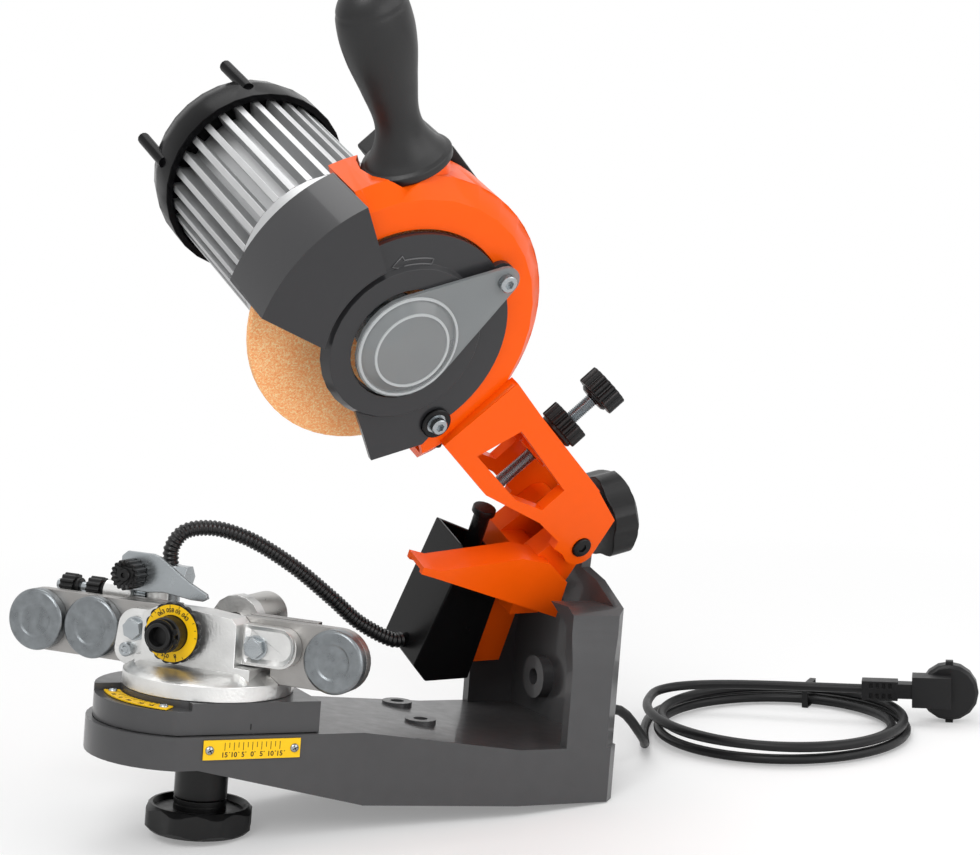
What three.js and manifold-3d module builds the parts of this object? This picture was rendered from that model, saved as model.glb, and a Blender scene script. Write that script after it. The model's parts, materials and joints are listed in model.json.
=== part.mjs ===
// Bench chain grinder: cast base, rocking table with a hydraulic chain vise, tilting and swinging head.
// Millimetres and degrees. The machine frame has X towards the rear column, -Y towards the operator's
// side that carries the tilt scale, and Z up from the base underside on the vise's turning axis.

import * as THREE from 'three';
import { mergeVertices } from 'three/addons/utils/BufferGeometryUtils.js';
import Module from 'manifold-3d';

const wasm = await Module();
wasm.setup();

// General fits
const clearance = 0.3;
const overrun = 3;
const round = 32;
const smallRound = 16;

// Grinding wheel and arm
const housingRadius = 86;
const wheelInset = 13.5;
const wheelRadius = housingRadius - wheelInset;
const wheelThickness = 4.5;
const arborRadius = 6;
const armReach = 205.5;
const armRaise = 38.8;
const pivotX = 205.8;
const pivotZ = 154.7;

// Axes that meet at the chain
const chainHeight = 93;
const tiltIncline = 15;
const headTilt = 26.5;
const viseTurn = -47;
const rockLimit = 15;
const rockStep = 7.5;

// Base casting
const noseRadius = 53;
const noseCentre = -12;
const noseHalfWidth = 49;
const noseUnderside = 22.5;
const noseBendX = -20;
const undersideBendX = 75;
const flareStartX = 73;
const flareEndX = 161;
const rearX = 226;
const rearHalfWidth = 66;
const rearChamfer = 7;
const deckHeight = 40;
const deckRearHeight = 31.5;
const baseWall = 7;
const ribThickness = 6;
const hollowStartX = 115;
const hollowRibX = 165;

// Column
const columnFrontX = 190;
const columnWaistZ = 75;
const columnInset = 4;
const columnNeckZ = 95;
const columnShoulderZ = 106;
const shoulderHalfWidth = 33;
const shoulderRise = 16;
const throatHalfWidth = 15;
const throatRise = 5;
const columnTopRadius = 17;
const towerTopZ = 110;
const backWall = 6;
const neckPlateX = rearX - backWall;

// Rocking table
const tableMargin = 3.6;
const tableEndX = 48;
const tableTopZ = 53;
const plateauHeight = 4;
const rockerFloorZ = 34;
const rockerRadius = chainHeight - rockerFloorZ;
const rockerHalfWidth = 20;
const rockerAngle = 26;
const scaleInnerRadius = 47.4;
const scaleOuterRadius = 56;
const scalePlateThickness = 0.8;

// Clamp under the nose
const studRadius = 5;
const sleeveRadius = 14.5;
const sleeveTopZ = 26.5;
const knobDrop = 22;
const knobRimRadius = 30;
const knobRimHeight = 14.5;
const sleeveLift = 3.5;
const sleeveFootZ = knobRimHeight - knobDrop + sleeveLift;
const knobRimRound = 3;
const knobFlatRadius = knobRimRadius - knobRimRound;

// Vise
const viseBaseRadius = 46.5;
const viseBaseRim = 8;
const viseShoulderRadius = 38;
const viseShoulderZ = 71;
const jawCentreZ = 82;
const rollerRadius = 17.2;
const rollerThickness = 6;
const fixedJawThickness = 6;
const slidingJawThickness = 5.5;
const jawGap = 3.4;
const outerRollerS = -103;
const innerRollerS = -67.5;
const rightRollerS = 78.5;

// Head
const pinRadius = 6;
const yokeHalfWidth = 31;
const cheekThickness = 7;
const shaftRadius = 8;

// Motor
const motorRadius = 50;
const motorCoreRadius = 41;
const bellStart = 14;
const bellEnd = 64;
const finEnd = 166;
const capRadius = 55;
const capLength = 42;
const finCount = 30;

// Mains cord
const cordRadius = 3;

// The base leans back on its clamp knob and the lower rear edge of the column
const lean = THREE.MathUtils.radToDeg(Math.atan(knobDrop / (rearX - knobFlatRadius)));

const rad = THREE.MathUtils.degToRad;

const paint = (color, roughness, metalness) =>
  new THREE.MeshStandardMaterial({ color, roughness, metalness });

const colours = {
  orange: paint(0xf2601c, 0.35, 0.1),
  grey: paint(0x4b4c4e, 0.5, 0.1),
  black: paint(0x1b1b1c, 0.45, 0.0),
  cast: paint(0xb9b7b3, 0.5, 0.85),
  zinc: paint(0xa9adb0, 0.35, 0.9),
  steel: paint(0x8f9194, 0.3, 0.95),
  yellow: paint(0xf3bf16, 0.5, 0.0),
  abrasive: paint(0xb9683a, 0.95, 0.0),
  clear: paint(0xb8bcc0, 0.1, 0.0),
  rubber: paint(0x161617, 0.7, 0.0),
};

// Solid and geometry conversions
function toSolid(geometry) {
  const bare = geometry.index ? geometry.toNonIndexed() : geometry.clone();
  bare.deleteAttribute('normal');
  bare.deleteAttribute('uv');
  const merged = mergeVertices(bare, 1e-4);
  const triangles = [];
  const index = merged.index.array;
  for (let i = 0; i < index.length; i += 3) {
    const [a, b, c] = [index[i], index[i + 1], index[i + 2]];
    if (a !== b && b !== c && c !== a) triangles.push(a, b, c);
  }
  return new wasm.Manifold(new wasm.Mesh({
    numProp: 3,
    vertProperties: Float32Array.from(merged.attributes.position.array),
    triVerts: Uint32Array.from(triangles),
  }));
}

function toGeometry(solid) {
  const mesh = solid.getMesh();
  const geometry = new THREE.BufferGeometry();
  geometry.setAttribute('position', new THREE.BufferAttribute(Float32Array.from(mesh.vertProperties), 3));
  geometry.setIndex(new THREE.BufferAttribute(Uint32Array.from(mesh.triVerts), 1));
  geometry.computeVertexNormals();
  return geometry;
}

function join(...geometries) {
  return toGeometry(geometries.map(toSolid).reduce((a, b) => a.add(b)));
}

function cut(geometry, ...tools) {
  return toGeometry(tools.map(toSolid).reduce((a, b) => a.subtract(b), toSolid(geometry)));
}

function common(a, b) {
  return toGeometry(toSolid(a).intersect(toSolid(b)));
}

// Shapes and prisms
function outline(points) {
  return new THREE.Shape(points.map(([x, y]) => new THREE.Vector2(x, y)));
}

function arcPoints(x, y, radius, from, to, steps) {
  const points = [];
  for (let i = 0; i <= steps; i += 1) {
    const angle = rad(from + ((to - from) * i) / steps);
    points.push([x + radius * Math.cos(angle), y + radius * Math.sin(angle)]);
  }
  return points;
}

function disc(x, y, radius, steps = round) {
  return outline(arcPoints(x, y, radius, 0, 360, steps).slice(0, -1));
}

// Flat plate along Z
function slab(shape, low, high) {
  const geometry = new THREE.ExtrudeGeometry(shape, { depth: high - low, bevelEnabled: false });
  return geometry.translate(0, 0, low);
}

// Plate with its outline in X and Z, thick along Y
function sidePlate(shape, near, far) {
  const geometry = new THREE.ExtrudeGeometry(shape, { depth: far - near, bevelEnabled: false });
  return geometry.rotateX(Math.PI / 2).translate(0, far, 0);
}

// Plate with its outline in Y and Z, thick along X
function crossPlate(shape, front, rear) {
  const geometry = new THREE.ExtrudeGeometry(shape, { depth: rear - front, bevelEnabled: false });
  const basis = new THREE.Matrix4().makeBasis(
    new THREE.Vector3(0, 1, 0), new THREE.Vector3(0, 0, 1), new THREE.Vector3(1, 0, 0));
  return geometry.applyMatrix4(basis).translate(front, 0, 0);
}

function block(x0, x1, y0, y1, z0, z1) {
  return new THREE.BoxGeometry(x1 - x0, y1 - y0, z1 - z0)
    .translate((x0 + x1) / 2, (y0 + y1) / 2, (z0 + z1) / 2);
}

// Revolved profile of [radius, height] pairs about Z
function turned(profile, steps = round) {
  const points = profile.map(([r, h]) => new THREE.Vector2(r, h));
  if (THREE.ShapeUtils.area(points) < 0) points.reverse();
  points.push(points[0].clone());
  return new THREE.LatheGeometry(points, steps).rotateX(Math.PI / 2);
}

function rod(radius, low, high, steps = smallRound) {
  return turned([[0, low], [radius, low], [radius, high], [0, high]], steps);
}

// Stands a part made along Z on another axis
const alongY = (geometry) => geometry.rotateX(-Math.PI / 2);
const alongX = (geometry) => geometry.rotateY(Math.PI / 2);

function hexagon(acrossFlats, low, high) {
  return rod(acrossFlats / Math.sqrt(3), low, high, 6);
}

function addPiece(group, name, geometry, material) {
  const mesh = new THREE.Mesh(geometry, material);
  mesh.name = name;
  group.add(mesh);
}

// Frames: each group carries its own moving body
const root = new THREE.Group();
const machine = new THREE.Group();
machine.name = 'machine';
machine.rotation.y = rad(lean);
machine.position.set(rearX - rearX * Math.cos(rad(lean)), 0, rearX * Math.sin(rad(lean)));
root.add(machine);

const vise = new THREE.Group();
vise.name = 'vise';
vise.rotation.z = rad(viseTurn);
machine.add(vise);

const tiltAxis = new THREE.Vector3(Math.cos(rad(tiltIncline)), 0, Math.sin(rad(tiltIncline)));
const chainPoint = new THREE.Vector3(0, 0, chainHeight);
const tiltGroup = new THREE.Group();
tiltGroup.position.copy(chainPoint);
tiltGroup.quaternion.setFromAxisAngle(tiltAxis, rad(headTilt));
machine.add(tiltGroup);

const head = new THREE.Group();
head.name = 'head';
head.position.copy(chainPoint).negate();
tiltGroup.add(head);

const arm = new THREE.Group();
arm.position.set(pivotX, 0, pivotZ);
arm.rotation.y = rad(armRaise);
head.add(arm);

// The wheel frame has its origin at the wheel's centre and keeps the arm's directions
const wheelEnd = new THREE.Group();
wheelEnd.name = 'wheel_end';
wheelEnd.position.set(-armReach, 0, 0);
arm.add(wheelEnd);

// A geometry turned about the rocking axis through the chain
function rocked(geometry, angle) {
  return geometry.clone().translate(0, 0, -chainHeight).rotateY(rad(angle)).translate(0, 0, chainHeight);
}

// The room a convex shape needs as it rocks: hulls of its neighbouring places, joined
function rockingSweep(geometry) {
  const steps = [];
  for (let angle = -rockLimit; angle < rockLimit; angle += rockStep) {
    const places = [rocked(geometry, angle), rocked(geometry, angle + rockStep)];
    steps.push(toGeometry(wasm.Manifold.hull(places.map(toSolid))));
  }
  return join(...steps);
}

function nosePlan(radius, halfWidth, tail) {
  const angle = THREE.MathUtils.radToDeg(Math.asin(halfWidth / radius));
  return outline([...arcPoints(noseCentre, 0, radius, 180 - angle, 180 + angle, round / 2), ...tail]);
}

const tableRadius = noseRadius - tableMargin;
const tableHalfWidth = noseHalfWidth - tableMargin;

function tablePlan(growth) {
  const half = tableHalfWidth + growth;
  const end = tableEndX + growth;
  return nosePlan(tableRadius + growth, half, [[end, -half], [end, half]]);
}

// The table's room in front of and behind the rocking axis
function tableHalves() {
  const room = slab(tablePlan(clearance), deckHeight, chainHeight);
  const front = block(noseCentre - noseRadius, 0, -noseHalfWidth, noseHalfWidth, 0, chainHeight);
  const rear = block(0, rearX, -noseHalfWidth, noseHalfWidth, 0, chainHeight);
  return [common(room, front), common(room, rear)];
}

// Base casting with its hollow column
function baseCasting() {
  const rearSide = rearHalfWidth - rearChamfer;
  const plan = nosePlan(noseRadius, noseHalfWidth, [
    [flareStartX, -noseHalfWidth], [flareEndX, -rearHalfWidth], [rearX - rearChamfer, -rearHalfWidth],
    [rearX, -rearSide], [rearX, rearSide], [rearX - rearChamfer, rearHalfWidth],
    [flareEndX, rearHalfWidth], [flareStartX, noseHalfWidth]]);
  const noseTip = noseCentre - noseRadius - overrun;
  const profile = outline([
    [noseTip, noseUnderside], [noseBendX, noseUnderside], [undersideBendX, 0], [rearX + overrun, 0],
    [rearX + overrun, deckRearHeight], [flareEndX, deckRearHeight], [flareStartX, deckHeight],
    [noseTip, deckHeight]]);
  const wide = rearHalfWidth + overrun;
  const foot = common(slab(plan, 0, deckHeight), sidePlate(profile, -wide, wide));
  const body = join(foot, column(), benchStud(), ...deckBosses());
  const moving = [...tableHalves(), ...clampRoom()].map(rockingSweep);
  return cut(body, ...undersideHollows(), rockerSeat(), ...moving, tiltBore(), glandHole(), ...bossHoles());
}

function columnOutline(inset) {
  const half = rearHalfWidth - inset;
  const neck = half - columnInset;
  const shoulder = shoulderHalfWidth - inset;
  const throat = throatHalfWidth - inset;
  const topZ = tiltAxisHeight(rearX);
  const shoulderTop = columnShoulderZ + shoulderRise;
  const right = [
    [half, 0], [half, columnWaistZ], [neck, columnNeckZ], [neck, columnShoulderZ - inset],
    [shoulder, shoulderTop - inset], [throat, shoulderTop + throatRise]];
  const left = right.map(([y, z]) => [-y, z]).reverse();
  return outline([...right, ...arcPoints(0, topZ, columnTopRadius - inset, 0, 180, smallRound), ...left]);
}

function tiltAxisHeight(x) {
  return chainHeight + x * Math.tan(rad(tiltIncline));
}

function column() {
  const shell = crossPlate(columnOutline(0), columnFrontX, rearX);
  const far = rearHalfWidth + overrun;
  const hollow = common(
    crossPlate(columnOutline(baseWall), columnFrontX - overrun, rearX - backWall),
    block(columnFrontX - overrun, rearX - backWall, -far, far, deckRearHeight, columnShoulderZ + shoulderRise
      - baseWall));
  const crown = block(columnFrontX - overrun, neckPlateX, -far, far, towerTopZ, chainHeight + rearX);
  const corners = [-1, 1].map((side) => block(-rearChamfer, rearChamfer, -rearChamfer, rearChamfer,
    -overrun, chainHeight + rearX).rotateZ(Math.PI / 4).translate(rearX, side * rearHalfWidth, 0));
  return join(cut(shell, hollow, crown, ...corners), columnBoss());
}

// Round boss on the inside of the back wall
const bossRadius = 13;
const bossInnerRadius = 5;
const bossLength = 7;
const bossY = 20;
const bossZ = 55;
function columnBoss() {
  const rear = rearX - backWall + 1 - bossLength / bossLength + overrun;
  const front = rearX - backWall - bossLength;
  return alongX(turned([[bossInnerRadius, front], [bossRadius, front], [bossRadius, rear],
    [bossInnerRadius, rear]], smallRound)).translate(0, bossY, bossZ);
}

function undersideHollows() {
  const top = deckRearHeight - baseWall;
  const rearHalf = rearHalfWidth - baseWall;
  const startShare = (hollowStartX - flareStartX) / (flareEndX - flareStartX);
  const startHalf = noseHalfWidth + (rearHalfWidth - noseHalfWidth) * startShare - baseWall;
  const front = outline([[hollowStartX, -startHalf], [flareEndX, -rearHalf], [hollowRibX, -rearHalf],
    [hollowRibX, rearHalf], [flareEndX, rearHalf], [hollowStartX, startHalf]]);
  const rearStart = hollowRibX + ribThickness;
  const rearEnd = rearX - backWall;
  const rear = outline([[rearStart, -rearHalf], [rearEnd, -rearHalf], [rearEnd, rearHalf],
    [rearStart, rearHalf]]);
  return [slab(front, -overrun, top), slab(rear, -overrun, top)];
}

function rockerSeat() {
  const half = rockerHalfWidth + clearance;
  const flats = (rockerRadius + clearance) / Math.cos(Math.PI / round);
  return alongY(rod(flats, -half, half, round)).translate(0, 0, chainHeight);
}

function clampRoom() {
  const sleeve = rod(sleeveRadius + 2 * clearance, -knobDrop, sleeveTopZ + clearance, round);
  return [sleeve, rod(studRadius + 2 * clearance, sleeveTopZ - overrun, deckHeight, smallRound)];
}

function alongTiltAxis(geometry) {
  return geometry.rotateY(rad(90 - tiltIncline)).translate(0, 0, chainHeight);
}

const reachAlongTilt = (x) => x / Math.cos(rad(tiltIncline));

function tiltBore() {
  return alongTiltAxis(rod(shaftRadius + clearance, reachAlongTilt(neckPlateX) - 2 * shaftRadius,
    reachAlongTilt(rearX) + 2 * shaftRadius, round / 2));
}

// Bolt bosses on the deck, for fastening the base to a bench
const deckBossRadius = 9;
const deckBossHoleRadius = 4.2;
const deckBossRise = 1.5;
const deckBossX = 127;
const deckBossPitch = 52;
const deckBossFarY = 46;
const deckBossPlaces = [[deckBossX, deckBossFarY - deckBossPitch], [deckBossX + deckBossRadius, deckBossFarY]];
const deckSlope = (deckHeight - deckRearHeight) / (flareEndX - flareStartX);
const deckZ = (x) => deckHeight - (x - flareStartX) * deckSlope;
function deckBosses() {
  return deckBossPlaces.map(([x, y]) => rod(deckBossRadius, deckRearHeight - baseWall,
    deckZ(x - deckBossRadius) + deckBossRise).translate(x, y, 0));
}

// Stud under the base that locates it on a bench
const benchStudX = 105;
const benchStudY = -25;
const benchStudRadius = 5.5;
const benchStudLength = 6;
function benchStud() {
  return rod(benchStudRadius, -benchStudLength, overrun).translate(benchStudX, benchStudY, 0);
}

function bossHoles() {
  return deckBossPlaces.map(([x, y]) => rod(deckBossHoleRadius, 0, deckHeight + overrun).translate(x, y, 0));
}

// Cord gland in the column's back wall
const glandY = -20;
const glandZ = 42;
const glandRadius = 7;
const glandFlange = 10;
const glandLength = 16;
function glandHole() {
  return alongX(rod(glandRadius + clearance, rearX - backWall - overrun, rearX + overrun))
    .translate(0, glandY, glandZ);
}

const glandTip = rearX + clearance + glandLength;
function cordGland() {
  const outer = rearX + clearance;
  const lip = outer + overrun;
  return alongX(turned([[0, rearX - backWall], [glandRadius, rearX - backWall], [glandRadius, outer],
    [glandFlange, outer], [glandFlange, lip], [glandRadius, lip], [cordRadius + overrun / 2, glandTip],
    [0, glandTip]], smallRound)).translate(0, glandY, glandZ);
}

addPiece(machine, 'base_casting', baseCasting(), colours.grey);
addPiece(machine, 'cord_gland', cordGland(), colours.black);

// Straight scale for the table's rocking angle, on the base's near side
const sideScaleCentreX = 9;
const sideScaleLength = 54;
const sideScaleHeight = 10.4;
const sideScaleZ = 33.3;
const sideScaleY = -noseHalfWidth - clearance;
const sideScaleFace = sideScaleY - scalePlateThickness;
addPiece(machine, 'side_scale_plate', block(sideScaleCentreX - sideScaleLength / 2,
  sideScaleCentreX + sideScaleLength / 2, sideScaleFace, sideScaleY,
  sideScaleZ - sideScaleHeight / 2, sideScaleZ + sideScaleHeight / 2), colours.yellow);

// Rocking table
const tableLowZ = deckHeight + clearance;
const plateauTopZ = tableTopZ + plateauHeight;
const plateauFrontX = -24;
const plateauCornerY = 12;
function tableCasting() {
  const half = tableHalfWidth;
  const plateauPlan = common(slab(tablePlan(0), tableTopZ - overrun, plateauTopZ), join(
    block(plateauFrontX, tableEndX, -half, half, tableTopZ - overrun, plateauTopZ),
    block(-tableRadius + noseCentre, tableEndX, plateauCornerY, half, tableTopZ - overrun, plateauTopZ),
    rod(viseBaseRadius, tableTopZ - overrun, plateauTopZ, round)));
  const rocker = sidePlate(outline([
    ...arcPoints(0, chainHeight, rockerRadius, 270 - rockerAngle, 270 + rockerAngle, smallRound),
    [0, tableTopZ - overrun]]), -rockerHalfWidth, rockerHalfWidth);
  return join(slab(tablePlan(0), tableLowZ, tableTopZ), plateauPlan, rocker);
}
addPiece(machine, 'table_casting', tableCasting(), colours.grey);

// Curved scale for the vise's turning angle
const curvedScaleFrom = 170;
const curvedScaleTo = 229;
const curvedScaleLow = tableTopZ + clearance;
const curvedScaleTop = curvedScaleLow + scalePlateThickness;
const curvedScale = slab(outline([
  ...arcPoints(0, 0, scaleOuterRadius, curvedScaleFrom, curvedScaleTo, smallRound),
  ...arcPoints(0, 0, scaleInnerRadius, curvedScaleTo, curvedScaleFrom, smallRound)]),
curvedScaleLow, curvedScaleTop);
addPiece(machine, 'vise_scale_plate', curvedScale, colours.yellow);

// Clamp stud and lobed knob under the nose
const studBottomZ = -knobDrop + knobRimHeight / 2;
const knobLobes = 8;
const lobeDepth = 2.2;
const rockerLowZ = chainHeight - rockerRadius;
addPiece(machine, 'clamp_stud', rod(studRadius, studBottomZ + clearance, rockerLowZ - clearance),
  colours.zinc);

function lobedOutline(radius, lobes, depth, perLobe) {
  const count = lobes * perLobe;
  const points = [];
  for (let i = 0; i < count; i += 1) {
    const angle = (2 * Math.PI * i) / count;
    const r = radius - depth * (0.5 - 0.5 * Math.cos(lobes * angle));
    points.push([r * Math.cos(angle), r * Math.sin(angle)]);
  }
  return outline(points);
}

function clampKnob() {
  const low = -knobDrop;
  const high = low + knobRimHeight;
  const rim = common(slab(lobedOutline(knobRimRadius, knobLobes, lobeDepth, 6), low, high), turned([
    [0, low], [knobRimRadius - knobRimRound, low], [knobRimRadius, low + knobRimRound],
    [knobRimRadius, high - knobRimRound], [knobRimRadius - knobRimRound, high], [0, high]]));
  const dish = turned([[sleeveRadius, high - knobRimRound], [knobRimRadius - 2 * knobRimRound,
    high - knobRimRound], [knobRimRadius - knobRimRound, high + overrun], [sleeveRadius, high + overrun]]);
  const hub = rod(sleeveRadius, high - knobRimHeight / 2, sleeveFootZ - clearance, round / 2);
  return cut(join(cut(rim, dish), hub), rod(studRadius + clearance, studBottomZ, sleeveFootZ + overrun));
}
addPiece(machine, 'clamp_knob', clampKnob(), colours.black);

// Sleeve that stays on the stud between the knob and the base
addPiece(machine, 'clamp_sleeve', cut(rod(sleeveRadius, sleeveFootZ, sleeveTopZ, round / 2),
  rod(studRadius + clearance, sleeveFootZ - overrun, sleeveTopZ + overrun)), colours.black);

// Vise casting: round foot, front wall with lugs, rear wall with the cylinder boss
const viseLowZ = plateauTopZ + clearance;
const jawTopZ = jawCentreZ + rollerRadius;
const jawLowZ = jawCentreZ - rollerRadius;
const channelZ = viseShoulderZ + 3;
const fixedJawNear = -fixedJawThickness - jawGap / 2;
const fixedJawFar = -jawGap / 2;
const slidingJawNear = jawGap / 2;
const slidingJawFar = slidingJawNear + slidingJawThickness;
const frontWallNear = -24;
const frontWallFar = fixedJawNear - clearance;
const frontWallLeft = -29.5;
const frontWallRight = 26.5;
const bedLeft = -37;
const bedRight = 40;
const frontWallTopZ = 101;
const rearWallNear = slidingJawFar + 1;
const rearWallFar = 30;
const rearWallTopZ = 90;
const lugNear = frontWallFar - 7;
const leftLugS = -38.5;
const leftLugZ = 85.5;
const leftLugRadius = 11;
const lockBoltS = -42.4;
const lockBoltZ = 73.8;
const lockLugRadius = 8.5;
const rightLugS = 34.7;
const rightLugZ = 84.5;
const rightLugEndS = 58;
const rightLugCorner = 10;
const cylinderS = 3;
const cylinderZ = 90;
const cylinderRadius = 13;
const cylinderFar = 62;
const pistonRadius = 5;
const postS = -42.5;
const postN = 14;
const postRadius = 6;
const postTopZ = 106;
const dialS = -8;
const dialZ = 88.6;
const dialBossRadius = 13;
const dialBossLength = 3;
const notchHalf = 18;
const notchSlope = 4;
const notchDepth = 6.2;

function viseCasting() {
  const foot = turned([[0, viseLowZ], [viseBaseRadius, viseLowZ], [viseBaseRadius, viseLowZ + viseBaseRim],
    [viseShoulderRadius, viseShoulderZ - 1 * clearance], [0, viseShoulderZ]]);
  const bed = block(bedLeft + notchSlope, bedRight - notchSlope, frontWallNear, rearWallFar, viseLowZ,
    channelZ - clearance);
  const frontWall = sidePlate(outline([
    [frontWallLeft, viseLowZ], [frontWallRight, viseLowZ], [frontWallRight, jawTopZ - overrun],
    [frontWallRight - overrun, jawTopZ], [dialS + dialBossRadius, frontWallTopZ],
    [dialS - dialBossRadius, frontWallTopZ], [frontWallLeft, leftLugZ + leftLugRadius]]),
  frontWallNear, frontWallFar);
  const rearWall = block(bedLeft + notchSlope, bedRight - notchSlope, rearWallNear, rearWallFar, viseLowZ,
    rearWallTopZ);
  const leftLug = sidePlate(outline([
    [frontWallLeft + overrun, jawLowZ], ...arcPoints(lockBoltS, lockBoltZ, lockLugRadius, 270, 180, 6),
    ...arcPoints(leftLugS, leftLugZ, leftLugRadius, 180, 90, 8),
    [frontWallLeft + overrun, leftLugZ + leftLugRadius]].reverse()), lugNear, frontWallFar);
  const rightLug = sidePlate(outline([
    [frontWallRight - overrun, rightLugZ - rightLugCorner],
    [rightLugEndS - rightLugCorner, rightLugZ - rightLugCorner],
    ...arcPoints(rightLugEndS - rightLugCorner, rightLugZ, rightLugCorner, 270, 360, 6),
    ...arcPoints(rightLugEndS - rightLugCorner, jawTopZ - rightLugCorner - overrun, rightLugCorner, 0, 90, 6),
    [frontWallRight - overrun, jawTopZ - overrun]]), lugNear, frontWallFar);
  const boss = alongY(rod(cylinderRadius + 2, rearWallNear + cylinderRadius, rearWallFar, round / 2))
    .translate(cylinderS, 0, cylinderZ);
  const shelf = block(postS - 2 * postRadius, bedLeft + 2 * notchSlope, rearWallNear,
    rearWallFar + notchSlope, jawLowZ, channelZ + postRadius);
  const dialBoss = alongY(rod(dialBossRadius, frontWallNear - dialBossLength, frontWallNear + overrun,
    round / 2)).translate(dialS, 0, dialZ);
  const pistonBore = alongY(rod(pistonRadius + clearance, slidingJawFar, rearWallFar - overrun))
    .translate(cylinderS, 0, cylinderZ);
  const channelNear = fixedJawNear - clearance;
  const channelFar = slidingJawFar + clearance;
  const reach = rearX;
  const channel = block(-reach, reach, channelNear, channelFar, channelZ, chainHeight * 2);
  const leftEnd = block(-reach, bedLeft + clearance, channelNear, channelFar,
    jawLowZ - clearance, chainHeight * 2);
  const rightEnd = block(bedRight - clearance, reach, channelNear, channelFar,
    jawLowZ - clearance, chainHeight * 2);
  return cut(join(foot, bed, frontWall, rearWall, leftLug, rightLug, boss, shelf, dialBoss), channel,
    leftEnd, rightEnd, pistonBore);
}
addPiece(vise, 'vise_casting', viseCasting(), colours.cast);

// Long jaw rails; both are notched where the wheel reaches the chain
function jawOutline(left, right, roundLeft, roundRight) {
  const leftEnd = roundLeft
    ? arcPoints(left, jawCentreZ, rollerRadius, 90, 270, smallRound)
    : [[left, jawTopZ], [left, channelZ + clearance]];
  const rightEnd = roundRight
    ? arcPoints(right, jawCentreZ, rollerRadius, -90, 90, smallRound)
    : [[right, channelZ + clearance], [right, jawTopZ]];
  const step = roundLeft
    ? [[bedLeft, jawLowZ], [bedLeft, channelZ + clearance], [bedRight, channelZ + clearance],
      [bedRight, jawLowZ]]
    : [];
  return outline([...leftEnd, ...step, ...rightEnd, [notchHalf + notchSlope, jawTopZ],
    [notchHalf, jawTopZ - notchDepth], [-notchHalf, jawTopZ - notchDepth], [-notchHalf - notchSlope, jawTopZ]]);
}
addPiece(vise, 'jaw_fixed', sidePlate(jawOutline(outerRollerS, rightRollerS, true, true),
  fixedJawNear, fixedJawFar), colours.steel);

const slidingJawLeft = -56;
const slidingJawRight = 62;
const slidingJaw = join(
  sidePlate(jawOutline(slidingJawLeft, slidingJawRight, false, false), slidingJawNear, slidingJawFar),
  alongY(rod(pistonRadius, slidingJawNear + slidingJawThickness / 2, rearWallFar - 2 * overrun))
    .translate(cylinderS, 0, cylinderZ));
addPiece(vise, 'jaw_sliding', slidingJaw, colours.steel);

const rollerFar = fixedJawNear - clearance;
const rollerNear = rollerFar - rollerThickness;
const rollerBevel = 1.2;
const rollerDishRadius = 9;
const rollerDish = 0.6;
function roller(s) {
  return alongY(turned([[0, rollerNear + rollerDish], [rollerDishRadius, rollerNear + rollerDish],
    [rollerDishRadius + rollerBevel, rollerNear], [rollerRadius - rollerBevel, rollerNear],
    [rollerRadius, rollerNear + rollerBevel], [rollerRadius, rollerFar], [0, rollerFar]], round))
    .translate(s, 0, jawCentreZ);
}
addPiece(vise, 'roller_left_outer', roller(outerRollerS), colours.zinc);
addPiece(vise, 'roller_left_inner', roller(innerRollerS), colours.zinc);
addPiece(vise, 'roller_right', roller(rightRollerS), colours.zinc);

const boltFlats = 10;
const boltHeadHeight = 5;
function viseBolt(flats, s, z) {
  const seat = lugNear - clearance;
  const washer = alongY(rod(flats * 0.65, seat - clearance * 3, seat));
  const headPart = alongY(hexagon(flats, seat - boltHeadHeight, seat - clearance));
  return join(washer, headPart).translate(s, 0, z);
}
addPiece(vise, 'vise_bolt_left', viseBolt(boltFlats, leftLugS, leftLugZ), colours.zinc);
addPiece(vise, 'vise_bolt_right', viseBolt(boltFlats, rightLugS, rightLugZ), colours.zinc);

// Depth dial with a yellow ring, its hub and retaining clip
const dialRadius = 16.6;
const dialThickness = 3.2;
const dialTeeth = 18;
const dialToothDepth = 1;
const hubRadius = 9.5;
const hubBore = 6;
const hubLength = 15;
const clipThickness = 1.2;
const dialFar = frontWallNear - dialBossLength - clearance;
const dialNear = dialFar - dialThickness;
const hubFar = dialNear - clearance;
const hubNear = hubFar - hubLength;
const clipFar = hubNear + clipThickness + 2;
const grooveDepth = 1;
addPiece(vise, 'depth_dial', sidePlate(lobedOutline(dialRadius, dialTeeth, dialToothDepth, 4),
  dialNear, dialFar).translate(dialS, 0, dialZ), colours.black);
addPiece(vise, 'dial_hub', alongY(turned([
  [0, hubFar], [hubRadius, hubFar], [hubRadius, clipFar], [hubRadius - grooveDepth, clipFar],
  [hubRadius - grooveDepth, clipFar - clipThickness], [hubRadius, clipFar - clipThickness],
  [hubRadius, hubNear], [hubBore, hubNear], [hubBore, hubFar - hubBore], [0, hubFar - hubBore]], round / 2))
  .translate(dialS, 0, dialZ), colours.black);

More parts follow.
